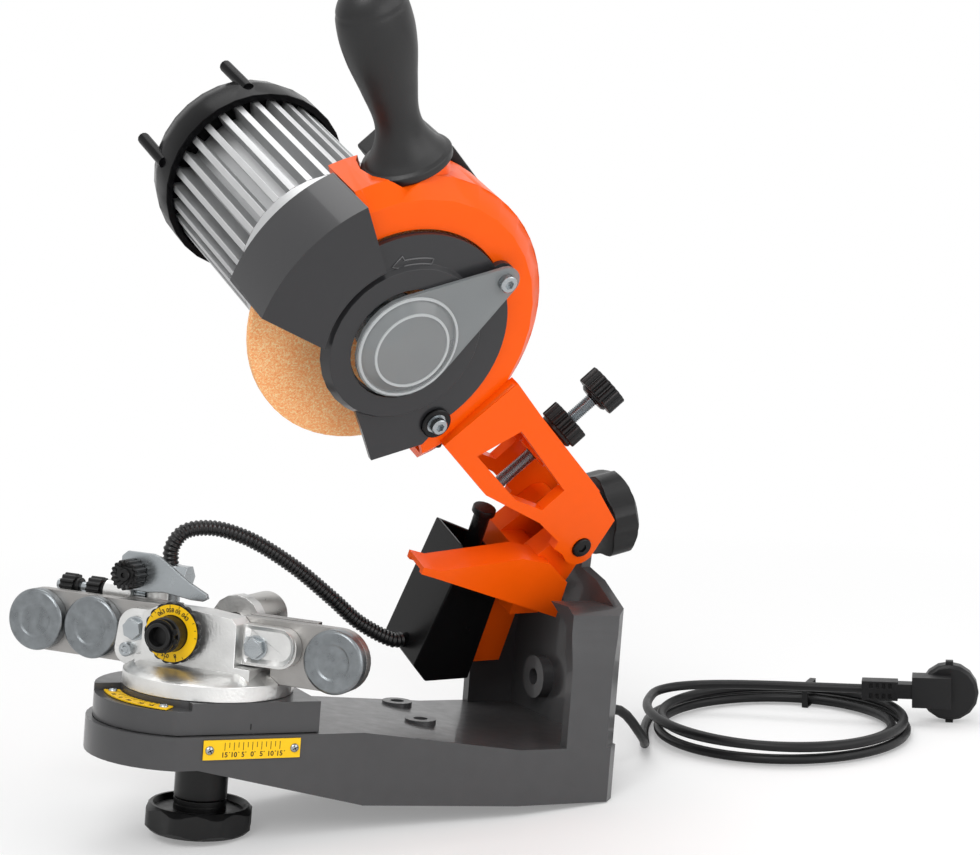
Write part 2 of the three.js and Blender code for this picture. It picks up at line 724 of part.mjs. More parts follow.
// Chain stop: post, bent bracket and knurled knob
const stopPlateThickness = 3;
const bracketLowZ = postTopZ - 4;
const stopPlateNear = postN - postRadius - stopPlateThickness - clearance;
const stopPlateFar = stopPlateNear + stopPlateThickness;
const stopKnobS = -53;
const stopKnobZ = 112;
const stopKnobRadius = 8.5;
const stopKnobLength = 11;
const bracketTopZ = 124;
const bracketKneeS = -20;
const bracketEndS = -9;
const stopFootZ = jawTopZ + 2;
addPiece(vise, 'stop_post', rod(postRadius, channelZ + postRadius + clearance, postTopZ)
  .translate(postS, postN, 0), colours.cast);
const bracketSide = stopKnobS - stopKnobRadius;
const bracketTab = stopPlateThickness + 2 * postRadius;
const stopBracket = join(
  sidePlate(outline([
    [bracketSide, bracketLowZ], [postS + postRadius, bracketLowZ], [bracketKneeS, stopFootZ],
    [bracketEndS, stopFootZ], [bracketEndS + stopPlateThickness, stopFootZ + stopPlateThickness],
    [bracketKneeS, bracketTopZ - stopKnobLength], [postS + stopPlateThickness, bracketTopZ],
    [bracketSide, bracketTopZ - overrun]]), stopPlateNear, stopPlateFar),
  block(bracketSide + stopPlateThickness, postS + postRadius, stopPlateNear, stopPlateNear + bracketTab,
    postTopZ + clearance, postTopZ + clearance + stopPlateThickness));
addPiece(vise, 'stop_bracket', stopBracket, colours.zinc);
addPiece(vise, 'stop_knob', sidePlate(lobedOutline(stopKnobRadius, smallRound, 1, 4),
  stopPlateNear - clearance - stopKnobLength, stopPlateNear - clearance)
  .translate(stopKnobS, 0, stopKnobZ), colours.black);

// Guide rod behind the left rail with its sleeve and two thumb nuts
const guideZ = 99;
const guideRadius = 3;
const guideLeft = -106;
const guideRight = postS - postRadius - clearance;
const sleeveGuideRadius = 6.5;
const sleeveGuideLeft = -74;
const sleeveGuideRight = -56;
const thumbNutRadius = 7;
const thumbNutLength = 11;
const thumbNutLobes = 10;
addPiece(vise, 'guide_rod', alongX(rod(guideRadius, guideLeft, guideRight))
  .translate(0, postN, guideZ), colours.zinc);
const guideCutter = () => alongX(rod(guideRadius + clearance, guideLeft - overrun, guideRight + overrun));
addPiece(vise, 'guide_sleeve', cut(alongX(rod(sleeveGuideRadius, sleeveGuideLeft, sleeveGuideRight,
  round / 2)), guideCutter()).translate(0, postN, guideZ), colours.cast);
[['outer', -102], ['inner', -85]].forEach(([place, left]) => {
  const nut = crossPlate(lobedOutline(thumbNutRadius, thumbNutLobes, 1, 4), left, left + thumbNutLength);
  addPiece(vise, `thumb_nut_${place}`, cut(nut, guideCutter()).translate(0, postN, guideZ), colours.black);
});

// Clamping cylinder behind the sliding jaw
const cylinderNear = rearWallFar + clearance;
const cylinderCap = 6;
addPiece(vise, 'clamp_cylinder', alongY(turned([[0, cylinderNear], [cylinderRadius, cylinderNear],
  [cylinderRadius, cylinderFar - 1], [cylinderRadius - 1, cylinderFar], [0, cylinderFar]], round / 2))
  .translate(cylinderS, 0, cylinderZ), colours.steel);

// Hose tee on its post, with hex unions
const teeS = -36.5;
const teeN = 27.5;
const teeRadius = 6.5;
const teeTopZ = 116;
const unionFlats = 12;
const unionLength = 6;
const hoseRadius = 4.6;
function hoseTee() {
  const stem = rod(teeRadius, channelZ + postRadius + clearance, teeTopZ, smallRound)
    .translate(teeS - teeRadius, teeN, 0);
  const side = alongX(hexagon(unionFlats, teeS - teeRadius, teeS + unionLength))
    .translate(0, teeN, teeTopZ - unionFlats / 2);
  return join(stem, side);
}
addPiece(vise, 'hose_tee', hoseTee(), colours.zinc);

// Head: tilt bracket with its shelf, yoke lugs, rear boss and lower tab
const shelfFrontX = 102;
const shelfNear = -yokeHalfWidth;
const shelfFar = -13;
const sheet = 3;
const lugInner = 10;
const lugOuter = yokeHalfWidth - cheekThickness - clearance;
const lugRadius = 10;
const coreFrontX = 178;
const coreRearX = 198;
const coreHalf = lugOuter;
const coreLowZ = 104;
const coreTopZ = 140;
const tabNear = -5;
const tabFar = -1;
const tabLowZ = 56;
const bossRearX = 215;
const bracketBossRadius = 17;
// Shelf side outline as shares of its length and of the pin height, from the front lower corner round
const shelfShares = [[0.09, 0.885], [0.95, 0.68], [0.94, 0.84], [0.78, 0.93], [0.6, 0.955], [0.1, 0.915],
  [0, 0.935], [0, 0.905]];
function tiltBracket() {
  const length = pivotX + pinRadius - shelfFrontX;
  const side = shelfShares.map(([x, z]) => [shelfFrontX + x * length, z * pivotZ]);
  const outer = sidePlate(outline(side), shelfNear, shelfNear + sheet);
  const inner = sidePlate(outline(side), shelfFar - sheet, shelfFar);
  const roofLine = side.slice(2, 7);
  const roofLower = roofLine.map(([x, z]) => [x, z - sheet]).reverse();
  const roof = sidePlate(outline([...roofLine, ...roofLower]), shelfNear, shelfFar);
  const core = block(coreFrontX, coreRearX, -coreHalf, coreHalf, coreLowZ, coreTopZ);
  const lugs = [-1, 1].map((side_) => {
    const [near, far] = side_ < 0 ? [-lugOuter, -lugInner] : [lugInner, lugOuter];
    return sidePlate(outline([[coreFrontX, coreLowZ], [pivotX, coreLowZ + lugRadius],
      [pivotX + lugRadius, pivotZ - lugRadius], ...arcPoints(pivotX, pivotZ, lugRadius, 0, 130, 8),
      [coreFrontX, coreTopZ]]), near, far);
  });
  const web = block(coreRearX - overrun, pivotX, -lugOuter, lugOuter, coreLowZ + lugRadius, coreTopZ
    - overrun);
  const boss = alongTiltAxis(rod(bracketBossRadius, reachAlongTilt(coreRearX - overrun),
    reachAlongTilt(bossRearX), round / 2));
  const bossTrim = alongY(rod(lugRadius + 3 * overrun, -lugInner, lugInner)).translate(pivotX, 0, pivotZ);
  const tab = block(coreFrontX, coreRearX, tabNear, tabFar, tabLowZ, coreLowZ + overrun);
  const pinBore = alongY(rod(pinRadius + clearance, -lugOuter - overrun, lugOuter + overrun))
    .translate(pivotX, 0, pivotZ);
  return cut(join(outer, inner, roof, core, ...lugs, web, boss, tab), bossTrim, pinBore);
}
addPiece(head, 'tilt_bracket', tiltBracket(), colours.orange);

const shaftStart = reachAlongTilt(neckPlateX + clearance / 2);
const tiltKnobRadius = 27;
const tiltKnobThickness = 17;
const tiltKnobFront = 234;
const tiltKnobLobes = 6;
const knobStart = reachAlongTilt(tiltKnobFront);
const knobEnd = knobStart + tiltKnobThickness;
addPiece(head, 'tilt_shaft', alongTiltAxis(rod(shaftRadius, shaftStart, knobStart + tiltKnobThickness / 2
  - clearance)), colours.zinc);
const tiltKnobEdge = 3;
addPiece(head, 'tilt_knob', alongTiltAxis(cut(
  common(slab(lobedOutline(tiltKnobRadius, tiltKnobLobes, 3.5, 8), knobStart, knobEnd), turned([
    [0, knobStart], [tiltKnobRadius, knobStart], [tiltKnobRadius, knobEnd - tiltKnobEdge],
    [tiltKnobRadius - tiltKnobEdge, knobEnd], [0, knobEnd]])),
  rod(shaftRadius + clearance, knobStart - overrun, knobStart + tiltKnobThickness / 2))), colours.black);

const pinHead = 1.6;
addPiece(head, 'pivot_pin', alongY(rod(pinRadius, -yokeHalfWidth - pinHead, yokeHalfWidth + pinHead))
  .translate(pivotX, 0, pivotZ), colours.black);

// Torsion spring round the pin: one unbroken wire
const springRadius = 8.1;
const springWire = 0.8;
const springCurls = 5;
const springSteps = 8;
const springSides = 5;
function torsionSpring() {
  const span = 2 * (lugInner - springWire - 1);
  const path = new THREE.Curve();
  path.getPoint = (t) => {
    const angle = 2 * Math.PI * springCurls * t;
    return new THREE.Vector3(springRadius * Math.cos(angle), span * (t - 0.5), springRadius * Math.sin(angle));
  };
  const wire = [];
  for (let i = 0; i < springSides; i += 1) {
    const angle = (2 * Math.PI * i) / springSides;
    wire.push([springWire * Math.cos(angle), springWire * Math.sin(angle)]);
  }
  const gap = span / springCurls - 2 * springWire;
  console.log(`torsion spring least gap ${gap.toFixed(2)} mm`);
  return new THREE.ExtrudeGeometry(outline(wire), {
    steps: springCurls * springSteps, extrudePath: path, bevelEnabled: false,
  }).translate(pivotX, 0, pivotZ);
}
addPiece(head, 'pivot_spring', torsionSpring(), colours.black);

// Pump with its folded cover and plunger
const coverFrontX = 143;
const coverFlare = 10;
const coverRearX = 175;
const coverNear = -11;
const coverFar = 27;
const coverLowZ = 48;
const coverTopZ = 140;
const coverSheet = 2.5;
const coverFoot = 12;
const portX = coverFrontX - coverFlare - clearance;
const portY = 8;
const portZ = 66;
const plungerX = 160;
const plungerY = 8;
const plungerRadius = 5;
const plungerTopZ = 158;
const plungerLowZ = 94;
const plungerTravel = 8;
const plungerHead = 4;
function pumpCover() {
  const heelX = coverFrontX - coverFlare;
  const profile = outline([[heelX, coverLowZ + coverFoot], [heelX + coverFoot, coverLowZ],
    [coverRearX, coverLowZ], [coverRearX, coverTopZ - coverFoot], [coverFrontX, coverTopZ]]);
  const recess = block(coverFrontX + coverSheet, coverRearX - coverSheet,
    coverNear + coverSheet, coverFar - coverSheet, coverTopZ - 2 * coverFoot, coverTopZ + overrun);
  const bore = rod(plungerRadius + clearance, plungerLowZ - plungerTravel - 1, coverTopZ)
    .translate(plungerX, plungerY, 0);
  return cut(sidePlate(profile, coverNear, coverFar), recess, bore);
}
addPiece(head, 'pump_cover', pumpCover(), colours.black);
addPiece(head, 'pump_plunger', join(
  rod(plungerRadius, plungerLowZ, plungerTopZ),
  rod(plungerRadius + 2, plungerTopZ - plungerHead, plungerTopZ))
  .translate(plungerX, plungerY, 0), colours.zinc);

// Handle with its flange
const handleSeatDrop = 1.15;
const handleBearing = 135;
const handlePitch = 21;
const handleX = (housingRadius - handleSeatDrop) * Math.cos(rad(handleBearing));
const handleZ = (housingRadius - handleSeatDrop) * Math.sin(rad(handleBearing));
const handleFlangeRadius = 24;
const handleLength = 100;
const handleFlat = 0.86;
const handleShares = [[0, 0], [0.238, 0], [0.238, 0.04], [0.175, 0.1], [0.125, 0.19], [0.115, 0.28],
  [0.145, 0.45], [0.182, 0.64], [0.189, 0.78], [0.168, 0.9], [0.11, 0.97], [0, 1]];
function handle() {
  const profile = handleShares.map(([r, h]) => [r * handleLength, h * handleLength]);
  return turned(profile, round / 2).scale(1, handleFlat, 1).rotateY(-rad(90 - handlePitch))
    .translate(handleX, 0, handleZ);
}
function handleSeat() {
  return rod(handleFlangeRadius + 2 * clearance, -clearance, handleFlangeRadius, round / 2)
    .rotateY(-rad(90 - handlePitch)).translate(handleX, 0, handleZ);
}
function handleBoss() {
  return rod(handleFlangeRadius - overrun, -2 * housingWall, -clearance, round / 2)
    .scale(1, handleFlat, 1).rotateY(-rad(90 - handlePitch)).translate(handleX, 0, handleZ);
}

// Arm casting: wheel housing ring, back plate and two-cheek neck
const housingWall = 7;
const housingNear = -26;
const plateNear = 7;
const plateFar = bellStart - clearance;
const faceWidth = 25;
const faceInnerRadius = housingRadius - faceWidth;
const coverRadius = faceInnerRadius - 1;
const coverReachShare = 1.15;
const housingFrom = -24;
const housingTo = 160;
const edgeBevel = 9;
const neckTopZ = 30;
const neckLowZ = -20;
const neckWeb = 8;
const stopS = 152;
const stopBossRadius = 10;
const tail = 12;
// Near cheek outline in shares of the reach to the pin and of the neck's height above and below the axis
const cheekTopShares = [[0.36, 1.05], [0.52, 1], [0.85, 0.97], [1.01, 0.83]];
const cheekLowShares = [[0.97, 0.55], [0.93, 0.62], [0.92, 0.4], [0.81, 0.45], [0.59, 1.05], [0.35, 1]];
function cheekOutline() {
  const top = cheekTopShares.map(([x, z]) => [x * armReach, z * neckTopZ]);
  const low = cheekLowShares.map(([x, z]) => [x * armReach, z * neckLowZ]);
  return outline([...top.reverse(), ...low.reverse(),
    ...arcPoints(armReach, 0, tail, 270, 360, 6)].reverse());
}

function sectorOutline(inner, outer, from, to) {
  return outline([...arcPoints(0, 0, outer, from, to, round), ...arcPoints(0, 0, inner, to, from, round)]);
}

const windowShares = [[0.46, -0.35], [0.68, -0.35], [0.78, -0.1], [0.78, 0.45], [0.5, 0.55]];
function armCasting() {
  const rim = sidePlate(sectorOutline(housingRadius - housingWall, housingRadius, housingFrom, housingTo),
    housingNear, plateFar);
  const face = sidePlate(sectorOutline(faceInnerRadius, housingRadius, housingFrom, housingTo),
    housingNear, housingNear + cheekThickness / 2);
  const ring = join(rim, face);
  const bevel = alongY(turned([[housingRadius - edgeBevel, housingNear - overrun],
    [housingRadius + overrun, housingNear - overrun], [housingRadius + overrun, housingNear + edgeBevel],
    [housingRadius, housingNear + edgeBevel], [housingRadius - edgeBevel, housingNear]], round));
  const backPlate = cut(join(
    sidePlate(sectorOutline(1, housingRadius, housingFrom, housingTo), plateNear, plateFar),
    alongY(rod(motorRadius, plateNear, plateFar, round))), handleSeat());
  const half = yokeHalfWidth;
  const cheeks = [[-half, -half + cheekThickness], [half - cheekThickness, half]].map(([near, far]) =>
    sidePlate(cheekOutline(), near, far));
  const webStart = (housingRadius - housingWall);
  const web = block(webStart, armReach - 2 * tail, -half + 1, half - 1, neckTopZ - neckWeb, neckTopZ - 1);
  const bridge = block(housingRadius - 2 * housingWall, housingRadius + housingWall, -half + 1, half - 1,
    neckLowZ + 1, neckTopZ - 1);
  const stopBoss = rod(stopBossRadius, neckTopZ - 2 * neckWeb, neckTopZ + 1).translate(stopS, 0, 0);
  const wheelRoom = alongY(rod(wheelRadius + 3, housingNear + cheekThickness, plateNear, round));
  const coverRoom = alongY(rod(coverReachShare * coverRadius, housingNear - cheekThickness, housingNear));
  const bore = alongY(rod(arborRadius + 2, plateNear - overrun, plateFar + overrun));
  const pinBore = alongY(rod(pinRadius + clearance, -half - overrun, half + overrun))
    .translate(armReach, 0, 0);
  const stopBore = rod(stopScrewRadius + clearance, neckLowZ, neckTopZ + overrun).translate(stopS, 0, 0);
  const window_ = sidePlate(outline(windowShares.map(([x, z]) => [x * armReach, z * neckTopZ])),
    -half - overrun, half + overrun);
  const seated = cut(ring, bevel, handleSeat());
  return cut(join(seated, handleBoss(), backPlate, ...cheeks, web, bridge, stopBoss),
    wheelRoom, coverRoom, bore, pinBore, stopBore, window_);
}
const stopScrewRadius = 4;
addPiece(wheelEnd, 'arm_casting', armCasting(), colours.orange);

// Dark guard over the wheel's front, open below
const guardNear = -34;
const guardFar = 6;
const guardFrom = housingTo + 0.5;
const guardTo = 211;
const guardWall = 3;
const guardFaceInner = faceInnerRadius - 15;
const guardLip = 224;
function wheelGuard() {
  const rim = sidePlate(sectorOutline(housingRadius - guardWall, housingRadius, guardFrom, guardTo),
    guardNear, guardFar);
  const face = sidePlate(outline([
    ...arcPoints(0, 0, housingRadius, guardFrom, guardTo, smallRound),
    ...arcPoints(0, 0, guardFaceInner, guardLip, guardFrom, smallRound)]), guardNear, guardNear + guardWall);
  return join(rim, face);
}
addPiece(wheelEnd, 'wheel_guard', wheelGuard(), colours.grey);

// Side cover: round part with a tail over the lower wheel, and two screw ears
const sideCoverFar = housingNear - clearance;
const sideCoverNear = sideCoverFar - 3.4;
const coverEarRadius = 8;
// The two screws, in shares of the cover's radius
const topScrewShares = [0.18333, 0.98333];
const lowScrewShares = [0.93167, -0.25333];
const [topScrewX, topScrewZ] = topScrewShares.map((share) => share * coverRadius);
const [lowScrewX, lowScrewZ] = lowScrewShares.map((share) => share * coverRadius);
const coverScrewRadius = 4.6;
const coverScrewHeight = 3.6;
// Tail corners as shares of the cover's radius, from the right edge round the bottom to the seam
const coverTailShares = [[1.03, -0.47], [0.77, -0.89], [0.44, -0.77], [-0.15, -0.58], [-0.5, -0.53]];
function sideCover() {
  const seam = guardFaceInner - 2 * clearance;
  const tailPoints = coverTailShares.map(([x, z]) => [x * coverRadius, z * coverRadius]);
  const body = outline([...arcPoints(0, 0, coverRadius, guardFrom, -8, round), ...tailPoints,
    ...arcPoints(0, 0, seam, guardLip, guardFrom, smallRound)].reverse());
  const ears = [[topScrewX, topScrewZ], [lowScrewX, lowScrewZ]].map(([x, z]) =>
    sidePlate(disc(x, z, coverEarRadius, smallRound), sideCoverNear, sideCoverFar));
  const collar = alongY(turned([[collarInner, sideCoverNear - collarRise], [seam - overrun,
    sideCoverNear - collarRise], [seam, sideCoverFar - 1], [collarInner, sideCoverFar - 1]], round));
  const dome = alongY(rod(collarInner - 1, sideCoverNear - overrun, sideCoverFar + overrun, round));
  return cut(join(sidePlate(body, sideCoverNear, sideCoverFar), ...ears, collar), dome);
}
const collarInner = guardFaceInner - 15;
const collarRise = 3;
addPiece(wheelEnd, 'side_cover', sideCover(), colours.grey);

// Clear teardrop cover that swings on its upper screw
const clearRadius = collarInner - 2;
const clearNear = sideCoverNear - collarRise - clearance - 2.2;
const clearFar = sideCoverNear - collarRise - clearance;
const clearDome = 4;
const clearEyeRadius = 8;
function tangentHull(x0, z0, r0, x1, z1, r1) {
  const distance = Math.hypot(x1 - x0, z1 - z0);
  const heading = THREE.MathUtils.radToDeg(Math.atan2(z1 - z0, x1 - x0));
  const spread = THREE.MathUtils.radToDeg(Math.acos((r0 - r1) / distance));
  return outline([
    ...arcPoints(x0, z0, r0, heading + spread, heading + 360 - spread, round / 2),
    ...arcPoints(x1, z1, r1, heading - spread, heading + spread, smallRound / 2)]);
}
function clearCover() {
  const plate = sidePlate(tangentHull(0, 0, clearRadius, topScrewX, topScrewZ, clearEyeRadius),
    clearNear, clearFar);
  const dome = alongY(turned([[0, clearNear - clearDome], [clearRadius - 2 * clearDome, clearNear - clearDome],
    [clearRadius - clearDome / 2, clearNear + 1], [0, clearNear + 1]], round));
  const hole = alongY(rod(coverScrewRadius / 2 + clearance, clearNear - overrun, clearFar + overrun))
    .translate(topScrewX, 0, topScrewZ);
  return cut(join(plate, dome), hole);
}
addPiece(wheelEnd, 'clear_cover', clearCover(), colours.clear);
addPiece(wheelEnd, 'cover_screw_top', alongY(turned([
  [0, clearNear - clearance - coverScrewHeight], [coverScrewRadius, clearNear - clearance - coverScrewHeight],
  [coverScrewRadius, clearNear - clearance], [coverScrewRadius / 2, clearNear - clearance],
  [coverScrewRadius / 2, clearFar + clearance], [coverScrewRadius, clearFar + clearance],
  [coverScrewRadius, sideCoverNear - clearance], [0, sideCoverNear - clearance]], smallRound))
  .translate(topScrewX, 0, topScrewZ), colours.zinc);

// Stop screw with its knob, and the lock knob on the neck
const stopTipZ = -16;
const stopTopZ = 74;
const stopKnobRimRadius = 13;
const stopKnobHeight = 13;
const lockLowZ = neckTopZ + 1 + clearance;
const lockHeight = 13;
addPiece(wheelEnd, 'stop_screw', join(
  rod(stopScrewRadius, stopTipZ, stopTopZ - overrun),
  slab(lobedOutline(stopKnobRimRadius, 12, 1, 4), stopTopZ - stopKnobHeight, stopTopZ))
  .translate(stopS, 0, 0), colours.zinc);
addPiece(wheelEnd, 'stop_lock_knob', cut(
  join(rod(stopKnobRimRadius - 2, lockLowZ, lockLowZ + 4),
    slab(lobedOutline(stopKnobRimRadius, 12, 1, 4), lockLowZ + 4, lockLowZ + lockHeight)),
  rod(stopScrewRadius + clearance, lockLowZ - overrun, lockLowZ + lockHeight + overrun))
  .translate(stopS, 0, 0), colours.black);

addPiece(wheelEnd, 'handle', handle(), colours.black);

// Switch box behind the housing, with a rocker
const switchNear = bellStart + 6;
const switchFar = bellEnd - 4;
const switchLeft = -46;
const switchRight = 14;
const switchLowZ = motorRadius + clearance;
const switchTopZ = 86;
const switchCorner = 14;
const rockerRadiusTop = 8;
const rockerLength = 18;
const rockerWidth = 12;
const rockerSink = 3;
function switchBox() {
  const shape = outline([[switchLeft, switchLowZ], [switchRight, switchLowZ],
    ...arcPoints(switchRight - switchCorner, switchTopZ - switchCorner, switchCorner, 0, 90, 6),
    ...arcPoints(switchLeft + switchCorner, switchTopZ - switchCorner, switchCorner, 90, 180, 6)]);
  const x = (switchLeft + switchRight) / 2;
  const y = (switchNear + switchFar) / 2;
  return cut(sidePlate(shape, switchNear, switchFar), block(x - rockerLength / 2 - clearance,
    x + rockerLength / 2 + clearance, y - rockerWidth / 2 - clearance, y + rockerWidth / 2 + clearance,
    switchTopZ - rockerRadiusTop - rockerSink, switchTopZ + overrun));
}
addPiece(wheelEnd, 'switch_box', switchBox(), colours.black);
const switchMiddle = (switchLeft + switchRight) / 2;
const rockerPivotZ = switchTopZ - rockerSink - rockerSink;
const rockerShape = outline([[-rockerLength / 2 + 1, -rockerSink + 1], [rockerLength / 2 - 1, -rockerSink + 1],
  [rockerLength / 2 - 1, rockerSink + 2], [0, rockerSink], [-rockerLength / 2 + 1, rockerSink + 2]]);
addPiece(wheelEnd, 'switch_rocker', sidePlate(rockerShape, (switchNear + switchFar - rockerWidth) / 2,
  (switchNear + switchFar + rockerWidth) / 2).translate(switchMiddle, 0, rockerPivotZ), colours.black);

// Motor: smooth bell, finned body and domed cap with four posts
const bellStep = 2;
addPiece(wheelEnd, 'motor_bell', alongY(turned([[arborRadius + 2, bellStart], [motorRadius - bellStep,
  bellStart], [motorRadius - bellStep, bellEnd - 8], [motorRadius, bellEnd - 8], [motorRadius, bellEnd],
[0, bellEnd], [0, bellEnd - 6], [arborRadius + 2, bellEnd - 6]], round)), colours.cast);

const finShare = 0.36;
function finnedBody() {
  const points = [];
  for (let i = 0; i < finCount; i += 1) {
    const middle = (360 * i) / finCount;
    const half = (180 / finCount) * finShare;
    const root_ = half * 1.1;
    [[motorCoreRadius, -root_], [motorRadius, -half], [motorRadius, half], [motorCoreRadius, root_]]
      .forEach(([r, offset]) => {
        const angle = rad(middle + offset);
        points.push([r * Math.cos(angle), r * Math.sin(angle)]);
      });
  }
  return sidePlate(outline(points), bellEnd + clearance, finEnd);
}
addPiece(wheelEnd, 'motor_fins', finnedBody(), colours.cast);

const capStart = finEnd - 6;
const capEnd = capStart + capLength;
const capLipRadius = motorRadius + 1;
const postOrbit = 53.5;
const capPostRadius = 3.6;
const capPostLength = 30;
const capPostAngles = [36, 144, 216, 324];
function motorCap() {
  const shell = alongY(turned([[capLipRadius, capStart], [capRadius, capStart], [capRadius, capStart + 16],
    [capRadius - 3, capEnd - 14], [capRadius - 12, capEnd - 4], [capRadius - 26, capEnd], [0, capEnd],
    [0, finEnd + clearance], [capLipRadius, finEnd + clearance]], round));
  const posts = capPostAngles.map((angle) => alongY(rod(capPostRadius, capEnd - capPostLength, capEnd + 4, 12))
    .translate(postOrbit * Math.cos(rad(angle)), 0, postOrbit * Math.sin(rad(angle))));
  return join(shell, ...posts);
}
addPiece(wheelEnd, 'motor_cap', motorCap(), colours.black);

// Spindle: shaft, flanges, grinding wheel and arbor nut
const flangeRadius = 18;
const flangeThickness = 4;
const nutFlats = 17;
const nutLength = 6;
const wheelHalf = wheelThickness / 2;
const boreGap = arborRadius + clearance;
function spindleRing(radius, low, high, steps) {
  return alongY(turned([[boreGap, low], [radius, low], [radius, high], [boreGap, high]], steps));
}
const frontFlangeNear = -wheelHalf - clearance - flangeThickness;
const nutNear = frontFlangeNear - clearance - nutLength;
addPiece(wheelEnd, 'motor_shaft', alongY(rod(arborRadius, nutNear - 2, bellEnd - 10)), colours.steel);
addPiece(wheelEnd, 'grinding_wheel', spindleRing(wheelRadius, -wheelHalf, wheelHalf, 60), colours.abrasive);
addPiece(wheelEnd, 'wheel_flange_front', spindleRing(flangeRadius, frontFlangeNear, -wheelHalf - clearance,
  round / 2), colours.zinc);
addPiece(wheelEnd, 'wheel_flange_rear', spindleRing(flangeRadius, wheelHalf + clearance,
  wheelHalf + clearance + flangeThickness, round / 2), colours.zinc);
addPiece(wheelEnd, 'arbor_nut', cut(alongY(hexagon(nutFlats, nutNear, frontFlangeNear - clearance)),
  alongY(rod(boreGap, nutNear - overrun, frontFlangeNear + overrun))), colours.zinc);

// Hydraulic hose: ribbed, with a bore, from the vise tee over the table to the pump
const hoseBore = 2.6;
const hoseRibPitch = 3.7;
const hoseSides = 8;
const hoseRibRatio = 0.87;
const boreEvery = 5;
const hoseRise = 28;
// Each middle point: share of the way from tee to pump, and share of the hose's rise above that line
const hoseShares = [[0.045, 0.72], [0.154, 0.98], [0.304, 1.02], [0.5, 0.78], [0.68, 0.38], [0.81, 0.06]];
root.updateMatrixWorld(true);
const toMachine = (group, point) => machine.worldToLocal(group.localToWorld(point));
const hoseStart = toMachine(vise, new THREE.Vector3(teeS - teeRadius, teeN, teeTopZ + clearance));
const hoseEnd = toMachine(head, new THREE.Vector3(portX, portY, portZ));
const hoseRun = 2 * hoseRadius;
const hoseLead = 6;
const beforeEnd = toMachine(head, new THREE.Vector3(portX - hoseLead, portY, portZ));
const afterStart = hoseStart.clone().add(new THREE.Vector3(0, 0, hoseRun));
const hosePath = new THREE.CatmullRomCurve3([hoseStart, afterStart,
  ...hoseShares.map(([along, rise]) => hoseStart.clone().lerp(hoseEnd, along)
    .add(new THREE.Vector3(0, 0, rise * hoseRise))), beforeEnd, hoseEnd]);

function ribbedHose(from, to, group) {
  const length = hosePath.getLength();
  const span = (to - from) * length;
  const ribs = Math.round(span / hoseRibPitch);
  const frames = [];
  const lift = new THREE.Vector3(0, 1, 0);
  const frameAt = (share) => {
    const u = from + (to - from) * share;
    const centre = hosePath.getPointAt(u);
    const heading = hosePath.getTangentAt(u);
    const side = new THREE.Vector3().crossVectors(lift, heading).normalize();
    frames.push({ centre, side, up: new THREE.Vector3().crossVectors(heading, side) });
    return frames[frames.length - 1];
  };
  const rings = [];
  const addRing = (share, radius) => rings.push({ ...frameAt(share), radius });
  for (let i = 0; i < ribs; i += 1) {
    addRing((i + 0.1) / ribs, i === 0 ? hoseRadius : hoseRadius * hoseRibRatio);
    addRing((i + 0.6) / ribs, hoseRadius);
  }
  rings[0] = { ...frameAt(0), radius: hoseRadius };
  addRing(1, hoseRadius);
  for (let i = ribs; i > 0; i -= boreEvery) addRing(i / ribs, hoseBore);
  addRing(0, hoseBore);
  const positions = [];
  rings.forEach(({ centre, side, up, radius }) => {
    for (let i = 0; i < hoseSides; i += 1) {
      const angle = (2 * Math.PI * i) / hoseSides;
      const point = centre.clone().addScaledVector(side, radius * Math.cos(angle))
        .addScaledVector(up, radius * Math.sin(angle));
      group.worldToLocal(machine.localToWorld(point));
      positions.push(point.x, point.y, point.z);
    }
  });
  const index = [];
  rings.forEach((ring, i) => {
    const next = ((i + 1) % rings.length) * hoseSides;
    for (let k = 0; k < hoseSides; k += 1) {
      const a = i * hoseSides + k;
      const b = i * hoseSides + ((k + 1) % hoseSides);
      const c = next + k;
      const d = next + ((k + 1) % hoseSides);
      index.push(a, b, d, a, d, c);
    }
  });
  const geometry = new THREE.BufferGeometry();
  geometry.setAttribute('position', new THREE.Float32BufferAttribute(positions, 3));
  geometry.setIndex(index);
  geometry.computeVertexNormals();
  return geometry;
}
const hoseSplitFront = 0.36;
const hoseSplitRear = 0.72;
const splitGap = clearance / hosePath.getLength();
addPiece(vise, 'hose_front', ribbedHose(0, hoseSplitFront, vise), colours.rubber);
addPiece(machine, 'hose_middle', ribbedHose(hoseSplitFront + splitGap, hoseSplitRear, machine),
  colours.rubber);
addPiece(head, 'hose_rear', ribbedHose(hoseSplitRear + splitGap, 1, head), colours.rubber);

// Mains cord on the floor: free stretch, coil, tie and angled plug
const tieThickness = 0.8;
const tieWidth = 4;
const hankCentreX = 391;
const hankCentreY = 10;
const hankOuter = 84;
const hankPitch = 9;
const hankTurns = 2.9;
const hankSteps = 24;
const layerRise = 2 * cordRadius + 0.9;
const hankLowZ = tieThickness + cordRadius + 2 * clearance;
const plugX = 500;
const plugY = -27;
const plugHeading = -40;
const plugRadius = 18.5;
const plugCentreZ = 20.3;
const plugBoxLength = 23.5;
const reliefLength = 32;
const reliefHeight = 12.5;
const reliefDepth = -8;
const reliefRise = 2;

const plug = new THREE.Group();
plug.position.set(plugX, plugY, 0);
plug.rotation.z = rad(plugHeading);
root.add(plug);
root.updateMatrixWorld(true);

